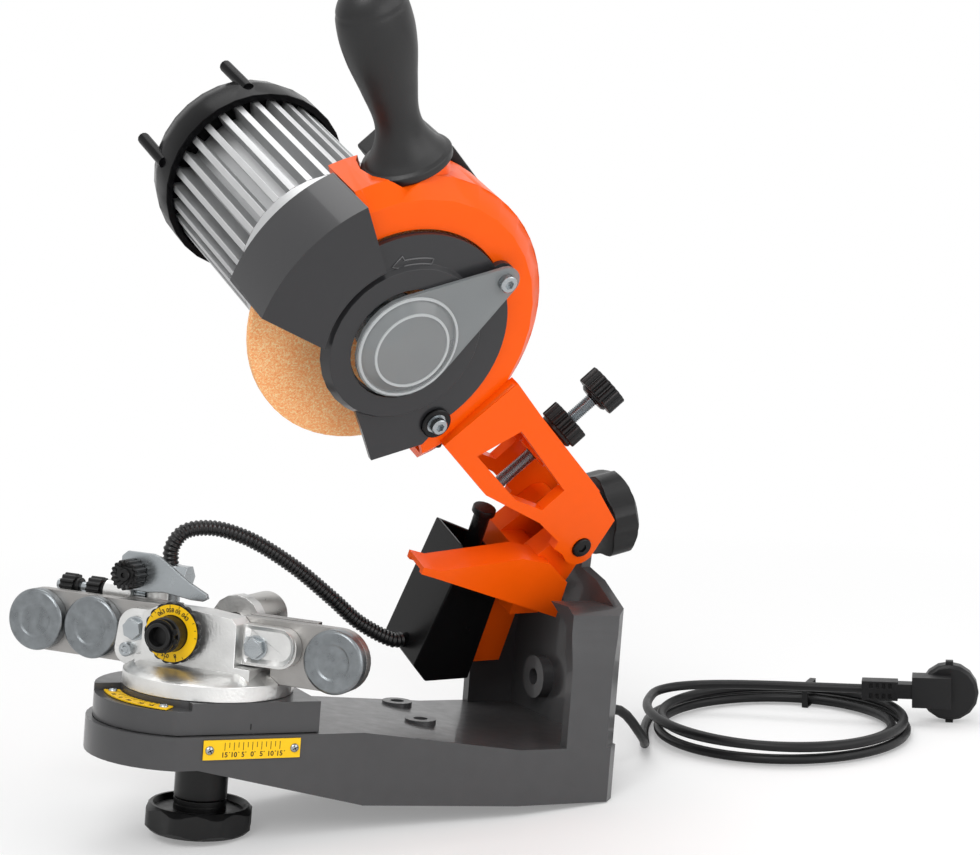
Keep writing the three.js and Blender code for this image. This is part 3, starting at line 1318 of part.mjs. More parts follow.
const reliefTip = -plugBoxLength - reliefLength;
const plugTabHeight = 1.8;
const reliefZ = plugCentreZ + reliefRise;
function plugBody() {
  const bodyFront = 10;
  const rim = alongY(turned([[0, -4], [plugRadius - 2, -4], [plugRadius, -2], [plugRadius, 7],
    [plugRadius - 3, bodyFront], [0, bodyFront]], round / 2)).translate(0, 0, plugCentreZ);
  const box = block(-plugBoxLength, 1, 2 * reliefDepth + 1, 0, reliefZ - 10, reliefZ + 10);
  const neck = block(reliefTip + 22, 1 - plugBoxLength, reliefDepth - 5, reliefDepth + 5,
    reliefZ - 4.8, reliefZ + 4.8);
  const relief = block(reliefTip, reliefTip + 23, reliefDepth - 5.5, reliefDepth + 5.5,
    reliefZ - reliefHeight / 2, reliefZ + reliefHeight / 2);
  const slots = [];
  for (let i = 0; i < 4; i += 1) {
    const x = reliefTip + 6 + 4 * i;
    [-1, 1].forEach((side) => slots.push(block(x - 1, x + 1, reliefDepth - 5.5 - overrun, reliefDepth
      - 3.5, reliefZ + side * 3.4 - 1.7, reliefZ + side * 3.4 + 1.7)));
  }
  const tab = block(-2.4, 2.4, -1, 4, plugCentreZ - plugRadius - plugTabHeight,
    plugCentreZ + plugRadius + plugTabHeight);
  const pins = [-9.5, 9.5].map((x) => alongY(rod(2.4, bodyFront - 1, 29, 12)).translate(x, 0, plugCentreZ));
  return cut(join(rim, box, neck, relief, tab, ...pins), ...slots);
}
addPiece(plug, 'plug_body', plugBody(), colours.rubber);

const smooth = (t) => {
  const x = Math.min(Math.max(t, 0), 1);
  return x * x * (3 - 2 * x);
};
function coilPoint(turn) {
  const angle = rad(90 - 360 * turn);
  const middle = hankTurns / 2;
  const radius = hankOuter - hankPitch * Math.min(turn, hankTurns - turn);
  const climb = layerRise * (smooth(2 * (turn - middle) + 0.5) + smooth((turn - hankTurns + 0.42) / 0.4));
  return new THREE.Vector3(hankCentreX + radius * Math.cos(angle), hankCentreY + radius * Math.sin(angle),
    hankLowZ + climb);
}
const coilPoints = [new THREE.Vector3(hankCentreX - 2 * cordRadius, hankCentreY + hankOuter, hankLowZ)];
for (let i = 0; i <= hankTurns * hankSteps; i += 1) coilPoints.push(coilPoint(i / hankSteps));
const plugFace = plug.localToWorld(new THREE.Vector3(reliefTip - clearance, reliefDepth, reliefZ));
const plugLead = plug.localToWorld(new THREE.Vector3(reliefTip - 3 * cordRadius, reliefDepth, reliefZ));
const lastCoil = coilPoints[coilPoints.length - 1];
const coilExit = lastCoil.clone().sub(coilPoints[coilPoints.length - 2]).normalize();
const plugHeadingVector = plugFace.clone().sub(plugLead).normalize();
const reach = lastCoil.distanceTo(plugLead) * 0.4;
const tailCurve = new THREE.CubicBezierCurve3(lastCoil, lastCoil.clone().addScaledVector(coilExit, reach),
  plugLead.clone().addScaledVector(plugHeadingVector, -reach), plugLead);
coilPoints.push(...tailCurve.getPoints(8).slice(1), plugFace);
const coilPath = new THREE.CatmullRomCurve3(coilPoints);

function cordTube(path, sides, steps) {
  const section = outline(arcPoints(0, 0, cordRadius, 0, 360, sides).slice(0, -1));
  return new THREE.ExtrudeGeometry(section, { steps, extrudePath: path, bevelEnabled: false });
}

function leastGap(path, samples) {
  const points = path.getSpacedPoints(samples);
  const step = path.getLength() / samples;
  const skip = Math.ceil((6 * cordRadius) / step);
  let least = Infinity;
  for (let i = 0; i < points.length; i += 1) {
    for (let k = i + skip; k < points.length; k += 1) {
      least = Math.min(least, points[i].distanceTo(points[k]));
    }
  }
  return least - 2 * cordRadius;
}
console.log(`cord coil least gap ${leastGap(coilPath, 900).toFixed(2)} mm,`,
  `length ${coilPath.getLength().toFixed(0)} mm`);
addPiece(root, 'cord_coil', cordTube(coilPath, 6, coilPoints.length + 6), colours.rubber);

const glandFace = machine.localToWorld(new THREE.Vector3(glandTip + clearance, glandY, glandZ));
const glandLead = machine.localToWorld(new THREE.Vector3(glandTip + 3 * cordRadius, glandY, glandZ));
const floorZ = cordRadius + clearance;
const coilStart = coilPoints[0].clone().add(new THREE.Vector3(-clearance, 0, 0));
const cordPath = new THREE.CatmullRomCurve3([glandFace, glandLead,
  new THREE.Vector3(277, -10, 18), new THREE.Vector3(296, 18, floorZ + 1),
  new THREE.Vector3(318, 54, floorZ), new THREE.Vector3(345, 84, floorZ),
  coilStart.clone().add(new THREE.Vector3(-4 * cordRadius, 0, 0)), coilStart]);
console.log(`free cord length ${cordPath.getLength().toFixed(0)} mm`);
addPiece(root, 'power_cord', cordTube(cordPath, 8, 24), colours.rubber);

// Wire tie round the coil's far side
const tieAngle = 39;
function cordTie() {
  const inner = hankOuter - hankPitch * (hankTurns / 2) - cordRadius - 2 * clearance;
  const outer = hankOuter + cordRadius + 2 * clearance;
  const top = hankLowZ + layerRise + cordRadius + 2 * clearance;
  const band = block(inner - tieThickness, outer + tieThickness, -tieWidth / 2, tieWidth / 2, clearance / 2,
    top + tieThickness);
  const room = block(inner, outer, -tieWidth, tieWidth, clearance / 2 + tieThickness, top);
  return cut(band, room).rotateZ(rad(tieAngle)).translate(hankCentreX, hankCentreY, 0);
}
addPiece(root, 'cord_tie', cordTie(), colours.rubber);

// The part's origin is the middle of the machine's own box, on the surface it stands on
const cordNames = ['power_cord', 'cord_coil', 'cord_tie', 'plug_body', 'cord_gland'];
root.updateMatrixWorld(true);
const standing = new THREE.Box3();
root.traverse((piece) => {
  if (piece.isMesh && !cordNames.includes(piece.name)) standing.expandByObject(piece, true);
});
const middle = standing.getCenter(new THREE.Vector3());
root.position.set(-middle.x, -middle.y, -standing.min.z);
const part = new THREE.Group();
part.add(root);

export default part;
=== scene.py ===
# %% [markdown]
# # A bench chain grinder
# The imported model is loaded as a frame: every part with a real shape is already there, on the body it moves
# with. This notebook gives each one its finish, and adds the small pieces and markings that make it read as
# the real machine.

import json
import math

import bmesh
import bpy
from mathutils import Matrix, Vector


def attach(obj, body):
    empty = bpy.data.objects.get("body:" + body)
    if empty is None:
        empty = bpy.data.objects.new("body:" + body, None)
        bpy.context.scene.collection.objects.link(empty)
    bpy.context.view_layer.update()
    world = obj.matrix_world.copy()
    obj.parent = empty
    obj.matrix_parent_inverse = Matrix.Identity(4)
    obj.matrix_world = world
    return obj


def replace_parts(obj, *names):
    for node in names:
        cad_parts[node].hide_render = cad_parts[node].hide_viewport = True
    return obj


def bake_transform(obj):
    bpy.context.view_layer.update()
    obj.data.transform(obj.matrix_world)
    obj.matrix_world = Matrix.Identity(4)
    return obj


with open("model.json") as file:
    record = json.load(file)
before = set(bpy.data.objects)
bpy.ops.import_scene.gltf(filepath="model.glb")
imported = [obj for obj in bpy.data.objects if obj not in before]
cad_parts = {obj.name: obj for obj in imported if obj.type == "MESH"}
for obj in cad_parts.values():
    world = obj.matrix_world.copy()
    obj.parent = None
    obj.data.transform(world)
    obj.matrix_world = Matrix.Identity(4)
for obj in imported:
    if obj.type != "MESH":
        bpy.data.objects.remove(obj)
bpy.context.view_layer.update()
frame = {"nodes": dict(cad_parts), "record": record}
nodes = frame["nodes"]

# %% [markdown]
# The photograph was taken with a long lens from the operator's left, a little above the table. The camera
# stands there, so that what is modelled can be compared with the picture point by point.

# %% Camera
CAMERA_PLACE = (-0.42311, -0.98834, 0.33150)
CAMERA_ANGLES = (83.916, 1.124, -27.064)
LENS_MM = 72
SENSOR_MM = 36

scene = bpy.context.scene
camera_data = bpy.data.cameras.new("camera")
camera_data.lens = LENS_MM
camera_data.sensor_width = SENSOR_MM
camera_data.clip_end = 20
camera = bpy.data.objects.new("camera", camera_data)
camera.location = CAMERA_PLACE
camera.rotation_euler = [math.radians(a) for a in CAMERA_ANGLES]
scene.collection.objects.link(camera)
scene.camera = camera
print("camera", LENS_MM, "mm lens")

# %% [markdown]
# Frames. The base leans back on its knob, the vise is turned on the table, the head is tilted over and the arm
# is raised. A matrix for each lets every detail be written in plain millimetres on the part that carries it.

# %% Working frames
MM = 0.001
KNOB_DROP, KNOB_REACH = 22, 199
LEAN = math.atan(KNOB_DROP / KNOB_REACH)
MACHINE_PLACE = (-94.074, 16.455, 24.834)
FLOOR_PLACE = (-95.443, 16.455, 0)
CHAIN = Vector((0, 0, 93))
VISE_TURN = -47
INCLINE = math.radians(15)
TILT_AXIS = Vector((math.cos(INCLINE), 0, math.sin(INCLINE)))
HEAD_TILT = 26.5
PIVOT_X, PIVOT_Z = 205.8, 154.7
ARM_RAISE = 38.8
ARM_REACH = 205.5


def turn(angle, axis):
    return Matrix.Rotation(math.radians(angle), 4, axis)


def shift(x, y, z):
    return Matrix.Translation((x, y, z))


METRES = Matrix.Scale(MM, 4)
MACHINE = METRES @ shift(*MACHINE_PLACE) @ Matrix.Rotation(LEAN, 4, "Y")
VISE = MACHINE @ turn(VISE_TURN, "Z")
HEAD = MACHINE @ Matrix.Translation(CHAIN) @ turn(HEAD_TILT, TILT_AXIS) @ Matrix.Translation(-CHAIN)
ARM = HEAD @ shift(PIVOT_X, 0, PIVOT_Z) @ turn(ARM_RAISE, "Y") @ shift(-ARM_REACH, 0, 0)
FLOOR = METRES @ shift(*FLOOR_PLACE)
print("frames", 5)

# %% [markdown]
# Finishes. Each one starts from a Principled shader. Noise on Object coordinates varies its colour and
# roughness, and a fine bump gives the grain of a casting, of moulded plastic or of a zinc coat.

# %% Finish helper
BROAD_PER_FINE = 12
BUMP_HEIGHT = 0.0004
COAT_ROUGHNESS = 0.06
LEAST_ROUGHNESS = 0.03


def finish(name, color, rough, metal=0.0, grain=900, bump=0.05, vary=0.15, rough_vary=0.1, bump_size=None,
           alpha=1.0, coat=0.0, shine=0.5):
    material = bpy.data.materials.new(name)
    material.use_nodes = True
    tree = material.node_tree
    shader = tree.nodes["Principled BSDF"]
    shader.inputs["Metallic"].default_value = metal
    shader.inputs["Coat Weight"].default_value = coat
    shader.inputs["Coat Roughness"].default_value = COAT_ROUGHNESS
    shader.inputs["Specular IOR Level"].default_value = shine
    if alpha < 1:
        shader.inputs["Alpha"].default_value = alpha
    coords = tree.nodes.new("ShaderNodeTexCoord")
    broad = tree.nodes.new("ShaderNodeTexNoise")
    broad.inputs["Scale"].default_value = grain / BROAD_PER_FINE
    broad.inputs["Detail"].default_value = 4
    tree.links.new(coords.outputs["Object"], broad.inputs["Vector"])
    tint = tree.nodes.new("ShaderNodeMix")
    tint.data_type = "RGBA"
    low = [max(c * (1 - vary), 0) for c in color]
    high = [min(c * (1 + vary), 1) for c in color]
    tint.inputs["A"].default_value = (*low, 1)
    tint.inputs["B"].default_value = (*high, 1)
    tree.links.new(broad.outputs["Fac"], tint.inputs["Factor"])
    tree.links.new(tint.outputs["Result"], shader.inputs["Base Color"])
    spread = tree.nodes.new("ShaderNodeMapRange")
    spread.inputs["To Min"].default_value = max(rough - rough_vary, LEAST_ROUGHNESS)
    spread.inputs["To Max"].default_value = min(rough + rough_vary, 1)
    tree.links.new(broad.outputs["Fac"], spread.inputs["Value"])
    tree.links.new(spread.outputs["Result"], shader.inputs["Roughness"])
    fine = tree.nodes.new("ShaderNodeTexNoise")
    fine.inputs["Scale"].default_value = bump_size or grain
    fine.inputs["Detail"].default_value = 3
    tree.links.new(coords.outputs["Object"], fine.inputs["Vector"])
    relief = tree.nodes.new("ShaderNodeBump")
    relief.inputs["Strength"].default_value = bump
    relief.inputs["Distance"].default_value = BUMP_HEIGHT
    tree.links.new(fine.outputs["Fac"], relief.inputs["Height"])
    tree.links.new(relief.outputs["Normal"], shader.inputs["Normal"])
    return material


print("finish helper ready")

# %% [markdown]
# The machine has few finishes: orange and dark grey powder coat on the big castings, bare cast and turned
# aluminium on the vise and motor, bright zinc on plates and fasteners, ground steel on the jaws, and black
# plastic.

# %% Finishes
orange_coat = finish("orange_powder_coat", (0.90, 0.100, 0.0015), 0.34, grain=1400, bump=0.05, vary=0.03,
                     coat=0.09, shine=0.10)
grey_coat = finish("dark_grey_powder_coat", (0.054, 0.054, 0.056), 0.34, grain=1500, bump=0.12, vary=0.08,
                   coat=0.20, shine=0.30)
guard_plastic = finish("guard_plastic", (0.022, 0.022, 0.024), 0.34, grain=2200, bump=0.02, vary=0.06,
                       rough_vary=0.03, coat=0.30, shine=0.24)
black_plastic = finish("black_plastic", (0.0045, 0.0045, 0.0048), 0.36, grain=2600, bump=0.12, vary=0.2,
                       shine=0.30)
cap_plastic = finish("motor_cap_plastic", (0.0045, 0.0045, 0.005), 0.20, grain=2600, bump=0.02, vary=0.2,
                     rough_vary=0.03, shine=0.05)
grip_rubber = finish("grip_rubber", (0.0085, 0.0085, 0.009), 0.40, grain=3000, bump=0.14, vary=0.15,
                     rough_vary=0.05, shine=0.4)
gloss_black = finish("black_painted_steel", (0.0035, 0.0035, 0.0038), 0.26, grain=1200, bump=0.02, vary=0.2,
                     rough_vary=0.04, shine=0.22)
cast_metal = finish("cast_aluminium", (0.68, 0.68, 0.67), 0.34, metal=0.92, grain=620, bump=0.42, vary=0.26)
motor_metal = finish("motor_aluminium", (0.50, 0.505, 0.51), 0.44, metal=0.8, grain=700, bump=0.10, vary=0.10)
zinc_coat = finish("zinc_plate", (0.36, 0.385, 0.40), 0.27, metal=0.95, grain=420, bump=0.08, vary=0.14)
roller_zinc = finish("roller_zinc", (0.20, 0.215, 0.225), 0.30, metal=0.9, grain=2200, bump=0.12, vary=0.40)
ground_steel = finish("ground_steel", (0.33, 0.32, 0.31), 0.36, metal=0.95, grain=900, bump=0.12, vary=0.2)
turned_steel = finish("turned_steel", (0.46, 0.45, 0.43), 0.30, metal=0.95, grain=1000, bump=0.10)
scale_yellow = finish("scale_yellow", (0.90, 0.54, 0.003), 0.42, grain=1800, bump=0.03, vary=0.04, shine=0.3)
mark_black = finish("mark_black", (0.006, 0.006, 0.006), 0.5, grain=1800, bump=0.03, shine=0.3)
cord_rubber = finish("cord_rubber", (0.0045, 0.0045, 0.005), 0.42, grain=2400, bump=0.12, vary=0.2, shine=0.28)
hose_rubber = finish("hose_plastic", (0.0045, 0.0045, 0.005), 0.32, grain=2400, bump=0.06, vary=0.2, shine=0.4)
# painted highlight: the raised arrow is coloured lighter than the cover's black to stand in for its lit edges
arrow_highlight_paint = finish("raised_arrow_painted_highlight", (0.075, 0.075, 0.078), 0.26, grain=2200, vary=0.05)
smoked_clear = finish("smoked_clear", (0.23, 0.245, 0.25), 0.16, grain=500, bump=0.02, vary=0.06, alpha=0.72)
# painted highlight: the clear cover's rings are coloured pale grey to stand in for their bright edges
ring_highlight_paint = finish("clear_cover_ring_painted_highlight", (0.58, 0.60, 0.61), 0.16, grain=500, bump=0.02, vary=0.04, alpha=0.7)
print("finishes", len(bpy.data.materials))

# %% [markdown]
# The stone is bonded grit: orange-brown grains with pale and dark ones among them. A Voronoi pattern gives each
# grain its own tone, and a noise bump makes the surface rough.

# %% Grinding stone
GRAINS_PER_METRE = 1700
DARK_GRAIN = (0.95, 0.34, 0.115, 1)
USUAL_GRAIN = (1.0, 0.47, 0.19, 1)
PALE_GRAIN = (1.0, 0.74, 0.40, 1)


def grit():
    material = finish("grinding_stone", (0.60, 0.25, 0.10), 0.86, grain=700, bump=0.5, vary=0.2, bump_size=2600,
                      shine=0.2)
    tree = material.node_tree
    shader = tree.nodes["Principled BSDF"]
    coords = tree.nodes["Texture Coordinate"]
    cells = tree.nodes.new("ShaderNodeTexVoronoi")
    cells.inputs["Scale"].default_value = GRAINS_PER_METRE
    tree.links.new(coords.outputs["Object"], cells.inputs["Vector"])
    tone = tree.nodes.new("ShaderNodeSeparateColor")
    tree.links.new(cells.outputs["Color"], tone.inputs["Color"])
    ramp = tree.nodes.new("ShaderNodeValToRGB")
    ramp.color_ramp.elements[0].color = DARK_GRAIN
    ramp.color_ramp.elements[1].color = PALE_GRAIN
    ramp.color_ramp.elements.new(0.5).color = USUAL_GRAIN
    tree.links.new(tone.outputs["Red"], ramp.inputs["Fac"])
    tree.links.new(ramp.outputs["Color"], shader.inputs["Base Color"])
    return material


stone = grit()
print("stone", stone.name)

# %% [markdown]
# Every casting and pressing has small rounded edges that catch the light. The CAD nodes have sharp ones, so each
# is copied, its loose triangles are merged, and its clear edges get a narrow bevel. An edge next to one that is
# too short for the bevel is left sharp. The copy stands for the node.

# %% Rounded copies
SMOOTH_ANGLE = 32
BEVEL_ANGLE = 38
SHORT_EDGE = 1.7
FLAT_ANGLE = 0.6
FACE_WEIGHT = 80


def shade(mesh, angle):
    mesh.shade_smooth()
    mesh.set_sharp_from_angle(angle=math.radians(angle))


def bevel(bm, edges, width):
    bmesh.ops.bevel(bm, geom=edges, offset=width, offset_type="OFFSET", affect="EDGES", segments=2,
                    profile=0.5, clamp_overlap=True, material=-1)


def soften(bm, width):
    short = {v for e in bm.edges if e.calc_length() < SHORT_EDGE * width for v in e.verts}
    edges = [e for e in bm.edges if len(e.link_faces) == 2
             and e.calc_face_angle(0) > math.radians(BEVEL_ANGLE) and not short.intersection(e.verts)]
    if edges:
        bevel(bm, edges, width)
    return len(edges)


def shown(bm, name, material, angle):
    """A visible piece from a bmesh, smooth up to the angle."""
    mesh = bpy.data.meshes.new(name)
    bm.to_mesh(mesh)
    bm.free()
    shade(mesh, angle)
    piece = bpy.data.objects.new(name, mesh)
    scene.collection.objects.link(piece)
    mesh.materials.append(material)
    return piece


def keep(bm, name, material, body, angle=SMOOTH_ANGLE):
    """A piece that rides on a body, with the shading of its flat faces kept flat."""
    piece = shown(bm, name, material, angle)
    flat = piece.modifiers.new("flat_faces", "WEIGHTED_NORMAL")
    flat.keep_sharp = True
    flat.weight = FACE_WEIGHT
    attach(piece, body)
    return piece


def node_body(node):
    for body, listed in frame["record"]["behaviour"]["bodies"].items():
        if node in listed:
            return body


def rounded(node, material, width):
    bm = bmesh.new()
    bm.from_mesh(nodes[node].data)
    bmesh.ops.remove_doubles(bm, verts=bm.verts, dist=2e-6)
    bmesh.ops.dissolve_limit(bm, angle_limit=math.radians(FLAT_ANGLE), verts=bm.verts, edges=bm.edges)
    count = soften(bm, width * MM)
    piece = keep(bm, node + "_finished", material, node_body(node))
    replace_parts(piece, node)
    print(node, "rounded edges", count)


# %% Castings and pressings
CASTINGS = [
    ("base_casting", grey_coat, 1.2), ("table_casting", grey_coat, 1.0), ("arm_casting", orange_coat, 1.2),
    ("tilt_bracket", orange_coat, 0.9), ("wheel_guard", guard_plastic, 1.6), ("side_cover", guard_plastic, 1.0),
    ("vise_casting", cast_metal, 1.2), ("pump_cover", gloss_black, 1.0), ("switch_box", black_plastic, 1.4),
    ("motor_cap", cap_plastic, 1.6), ("motor_bell", motor_metal, 0.6), ("motor_fins", motor_metal, 0.3),
    ("jaw_fixed", ground_steel, 0.5), ("jaw_sliding", ground_steel, 0.5), ("clamp_knob", black_plastic, 1.4),
    ("tilt_knob", black_plastic, 1.2), ("clamp_sleeve", black_plastic, 0.8),
]
for casting in CASTINGS:
    rounded(*casting)

# %% Small parts
SMALL_PARTS = [
    ("side_scale_plate", scale_yellow, 0.15), ("vise_scale_plate", scale_yellow, 0.15),
    ("clamp_stud", zinc_coat, 0.4), ("stop_post", cast_metal, 0.6), ("guide_rod", zinc_coat, 0.4),
    ("guide_sleeve", cast_metal, 0.5), ("hose_tee", zinc_coat, 0.5), ("tilt_shaft", zinc_coat, 0.4),
    ("pivot_spring", gloss_black, 0.1), ("pump_plunger", gloss_black, 0.6), ("switch_rocker", black_plastic, 0.6),
    ("motor_shaft", turned_steel, 0.3), ("grinding_wheel", stone, 0.5), ("wheel_flange_front", zinc_coat, 0.3),
    ("wheel_flange_rear", zinc_coat, 0.3), ("arbor_nut", zinc_coat, 0.4), ("cord_gland", black_plastic, 0.4),
    ("clear_cover", smoked_clear, 0.3), ("plug_body", cord_rubber, 0.8), ("cord_tie", cord_rubber, 0.1),
]
for small in SMALL_PARTS:
    rounded(*small)

# %% [markdown]
# Rollers, screws, knobs and the handle are round, so they are turned here as on a lathe. A profile of radius and
# height is spun about the local Z axis, and a matrix puts it where it belongs. The facets come out even all
# round, and grooves or a dished end are only more points in the profile. A closed profile makes a ring.

# %% Lathe
POINT_MERGE = 0.0005


def spun(profile, place, steps=64, ring=False):
    bm = bmesh.new()
    line = [bm.verts.new((r, 0, h)) for r, h in profile]
    pairs = list(zip(line, line[1:])) + ([(line[-1], line[0])] if ring else [])
    edges = [bm.edges.new(pair) for pair in pairs]
    bmesh.ops.spin(bm, geom=line + edges, cent=(0, 0, 0), axis=(0, 0, 1), angle=math.tau, steps=steps,
                   use_merge=True)
    bmesh.ops.remove_doubles(bm, verts=bm.verts, dist=POINT_MERGE)
    bmesh.ops.recalc_face_normals(bm, faces=bm.faces)
    bmesh.ops.transform(bm, matrix=place, verts=bm.verts)
    return bm


def gather(*parts):
    whole = bmesh.new()
    for part in parts:
        mesh = bpy.data.meshes.new("part")
        part.to_mesh(mesh)
        part.free()
        whole.from_mesh(mesh)
        bpy.data.meshes.remove(mesh)
    return whole


def facing(work, x, y, z):
    """Local Z towards the operator, local Y up the part."""
    return work @ shift(x, y, z) @ turn(90, "X")


def stand_in(bm, node, material, angle=SMOOTH_ANGLE, name=None):
    """A piece that is seen in place of a node, on the node's body."""
    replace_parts(keep(bm, name or node + "_detailed", material, node_body(node), angle), node)


print("lathe ready")

# %% [markdown]
# Knob rims and hexagons are prisms, and plates are cut from a drawn outline. Both are a flat face raised to its
# height, with bevelled rims. A knob's circle gets its lobes by moving each point in or out with its angle. The
# top of a moulded knob, or of a lipped plate, is inset and sunk a little.

# %% Prisms and plates
PRISM_RIM = 0.7
PLATE_RIM = 0.8
DISH_EDGE = 1.2
HEX_WEDGE = math.radians(60)


def raise_faces(bm, rise):
    grown = bmesh.ops.extrude_face_region(bm, geom=bm.faces[:])["geom"]
    bmesh.ops.translate(bm, vec=(0, 0, rise), verts=[g for g in grown if isinstance(g, bmesh.types.BMVert)])
    bmesh.ops.recalc_face_normals(bm, faces=bm.faces)


def bevel_rims(bm, angle, width):
    bevel(bm, [e for e in bm.edges if e.calc_face_angle(0) > angle], width)


def sink_top(bm, border, depth):
    top = max(bm.faces, key=lambda f: f.calc_center_median().z)
    bmesh.ops.inset_individual(bm, faces=[top], thickness=border, use_even_offset=True)
    bmesh.ops.translate(bm, vec=(0, 0, -depth), verts=top.verts)


def prism(count, radius, low, high, place, lobes=0, depth=0.0, edge=0.4, dish=0.0):
    bm = bmesh.new()
    bmesh.ops.create_circle(bm, cap_ends=True, segments=count, radius=radius)
    for v in bm.verts:
        if lobes:
            swing = 0.5 - 0.5 * math.cos(lobes * math.atan2(v.co.y, v.co.x))
            v.co *= 1 - depth / radius * swing ** 2
        v.co.z = low
    raise_faces(bm, high - low)
    bevel_rims(bm, PRISM_RIM, edge)
    if dish:
        sink_top(bm, DISH_EDGE, dish)
    bmesh.ops.transform(bm, matrix=place, verts=bm.verts)
    return bm


def plate(points, high, place, edge, lip=0.0, sink=0.0):
    bm = bmesh.new()
    face = bm.faces.new([bm.verts.new((x, y, 0)) for x, y in points])
    if face.normal.z > 0:
        face.normal_flip()
    raise_faces(bm, high)
    if lip:
        sink_top(bm, lip, sink)
    bevel_rims(bm, PLATE_RIM, edge)
    bmesh.ops.transform(bm, matrix=place, verts=bm.verts)
    return bm


def socket_head(radius, height, key, place):
    """A socket cap screw's head: spun, with its bore pressed into a hexagon."""
    profile = [(0, height * 0.4), (key / 2, height * 0.4), (key / 2, height), (radius - 0.5, height),
               (radius, height - 0.5), (radius, 0), (0, 0)]
    bm = spun(profile, Matrix(), 36)
    for v in bm.verts:
        across = math.hypot(v.co.x, v.co.y)
        if 0.01 < across < key / 2 + 0.01:
            around = (math.atan2(v.co.y, v.co.x) + math.tau) % HEX_WEDGE - HEX_WEDGE / 2
            v.co.x /= math.cos(around)
            v.co.y /= math.cos(around)
    bmesh.ops.transform(bm, matrix=place, verts=bm.verts)
    return bm


print("prisms and plates ready")

# %% [markdown]
# The rollers guide the chain. Each is a zinc-plated disc with a chamfered rim, a flat ring and a shallow dished
# middle, and the cutting tool has left fine rings on both faces.

# %% Rollers
RING_STEP = 0.7
RING_DEPTH = 0.05
DISH_TOP, RIM_TOP = 5.4, 6.0
ROLLERS = {"roller_left_outer": -103, "roller_left_inner": -67.5, "roller_right": 78.5}


def tool_rings(start, end, height):
    count = max(int((end - start) / RING_STEP), 1)
    return [(start + (end - start) * i / count, height - RING_DEPTH * (i % 2)) for i in range(count + 1)]


roller_profile = [(0, DISH_TOP)] + tool_rings(0.8, 9.0, DISH_TOP)
roller_profile += [(9.7, RIM_TOP)] + tool_rings(10.4, 15.2, RIM_TOP)
roller_profile += [(15.8, 5.95), (16.8, 5.2), (17.2, 4.5), (17.2, 0), (0, 0)]
for node, along in ROLLERS.items():
    stand_in(spun(roller_profile, facing(VISE, along, -8, 82), 96), node, roller_zinc, 50)
print("rollers", len(ROLLERS))

# %% [markdown]
# The depth dial is a black moulded disc with a notched edge. A yellow ring with the setting marks lies on it, and
# its hub carries a retaining clip in a groove. Numbers and ticks are thin flat letters just over the ring, set
# out as on a clock, in degrees.

# %% Depth dial
DIAL = facing(VISE, -8, -27.3, 88.6)
DIAL_MARK_HEIGHT = 3.76
DIAL_NUMBERS = (("063", -33), ("058", -7), ("05", 15), ("043", 38), ("025", 193), ("8", 165))
DIAL_TICKS = (-58, -46, 62, 78, 94, 210, 224, 148)
LETTER_THICKNESS = 0.04
LETTER_SWELL = 0.07
TICK_THICKNESS = 0.08


def lettering(words, size, place):
    """Flat letters as a mesh, a thin slab standing on the local XY plane."""
    data = bpy.data.curves.new("words", "FONT")
    data.body = words
    data.size = size
    data.align_x = "CENTER"
    data.align_y = "CENTER"
    data.extrude = LETTER_THICKNESS
    data.offset = LETTER_SWELL
    data.resolution_u = 3
    item = bpy.data.objects.new("words", data)
    scene.collection.objects.link(item)
    bpy.context.view_layer.update()
    mesh = bpy.data.meshes.new_from_object(item.evaluated_get(bpy.context.evaluated_depsgraph_get()))
    bm = bmesh.new()
    bm.from_mesh(mesh)
    bmesh.ops.remove_doubles(bm, verts=bm.verts, dist=1e-4)
    bmesh.ops.transform(bm, matrix=place, verts=bm.verts)
    bpy.data.objects.remove(item)
    bpy.data.curves.remove(data)
    bpy.data.meshes.remove(mesh)
    return bm


def tick(long, wide, place):
    bm = bmesh.new()
    bmesh.ops.create_cube(bm, size=1)
    bmesh.ops.scale(bm, vec=(wide, long, TICK_THICKNESS), verts=bm.verts)
    bmesh.ops.transform(bm, matrix=place, verts=bm.verts)
    return bm


stand_in(prism(144, 16.6, 0, 3.2, DIAL, 18, 0.9, 0.3), "depth_dial", black_plastic)
keep(spun([(9.9, 3.2), (9.9, 3.7), (15.3, 3.7), (15.3, 3.2)], DIAL, 72, True), "dial_ring", scale_yellow, "dial")
hub_profile = [(0, 12.5), (4.7, 12.5), (5.3, 13.4), (5.3, 18.3), (5.7, 18.5), (6.8, 18.5), (7.2, 18.1),
               (7.2, 16.6), (6.5, 16.6), (6.5, 15.4), (7.2, 15.4), (7.2, 12.4), (8.8, 12.2), (9.5, 11.4),
               (9.5, 3.5), (0, 3.5)]
stand_in(spun(hub_profile, DIAL), "dial_hub", black_plastic)
clip = [spun([(6.3, 15.5), (6.3, 16.5), (8.9, 16.5), (8.9, 15.5)], DIAL, 48, True)]
clip += [prism(12, 1.7, 15.5, 16.5, DIAL @ shift(9.4 * math.cos(a), 9.4 * math.sin(a), 0), edge=0.2)
         for a in (math.radians(20), math.radians(-12))]
keep(gather(*clip), "dial_clip", gloss_black, "dial")

dial_marks = []
for words, clock in DIAL_NUMBERS:
    spoke = DIAL @ turn(-clock, "Z")
    dial_marks.append(lettering(words, 3.1, spoke @ shift(0, 12.2, DIAL_MARK_HEIGHT)))
    dial_marks.append(tick(1.6, 0.3, spoke @ shift(0, 14.4, DIAL_MARK_HEIGHT)))
for clock in DIAL_TICKS:
    dial_marks.append(tick(1.3, 0.3, DIAL @ turn(-clock, "Z") @ shift(0, 14.5, DIAL_MARK_HEIGHT)))
keep(gather(*dial_marks), "dial_numbers", mark_black, "dial")
print("dial numbers", len(DIAL_NUMBERS))

# %% [markdown]
# Two yellow plates carry the angle scales. The straight one on the base's side shows how far the table is rocked,
# the curved one on the table how far the vise is turned. Ticks and plain numbers are black, and small screws hold
# both plates. A short line on the table's edge points at the straight scale.

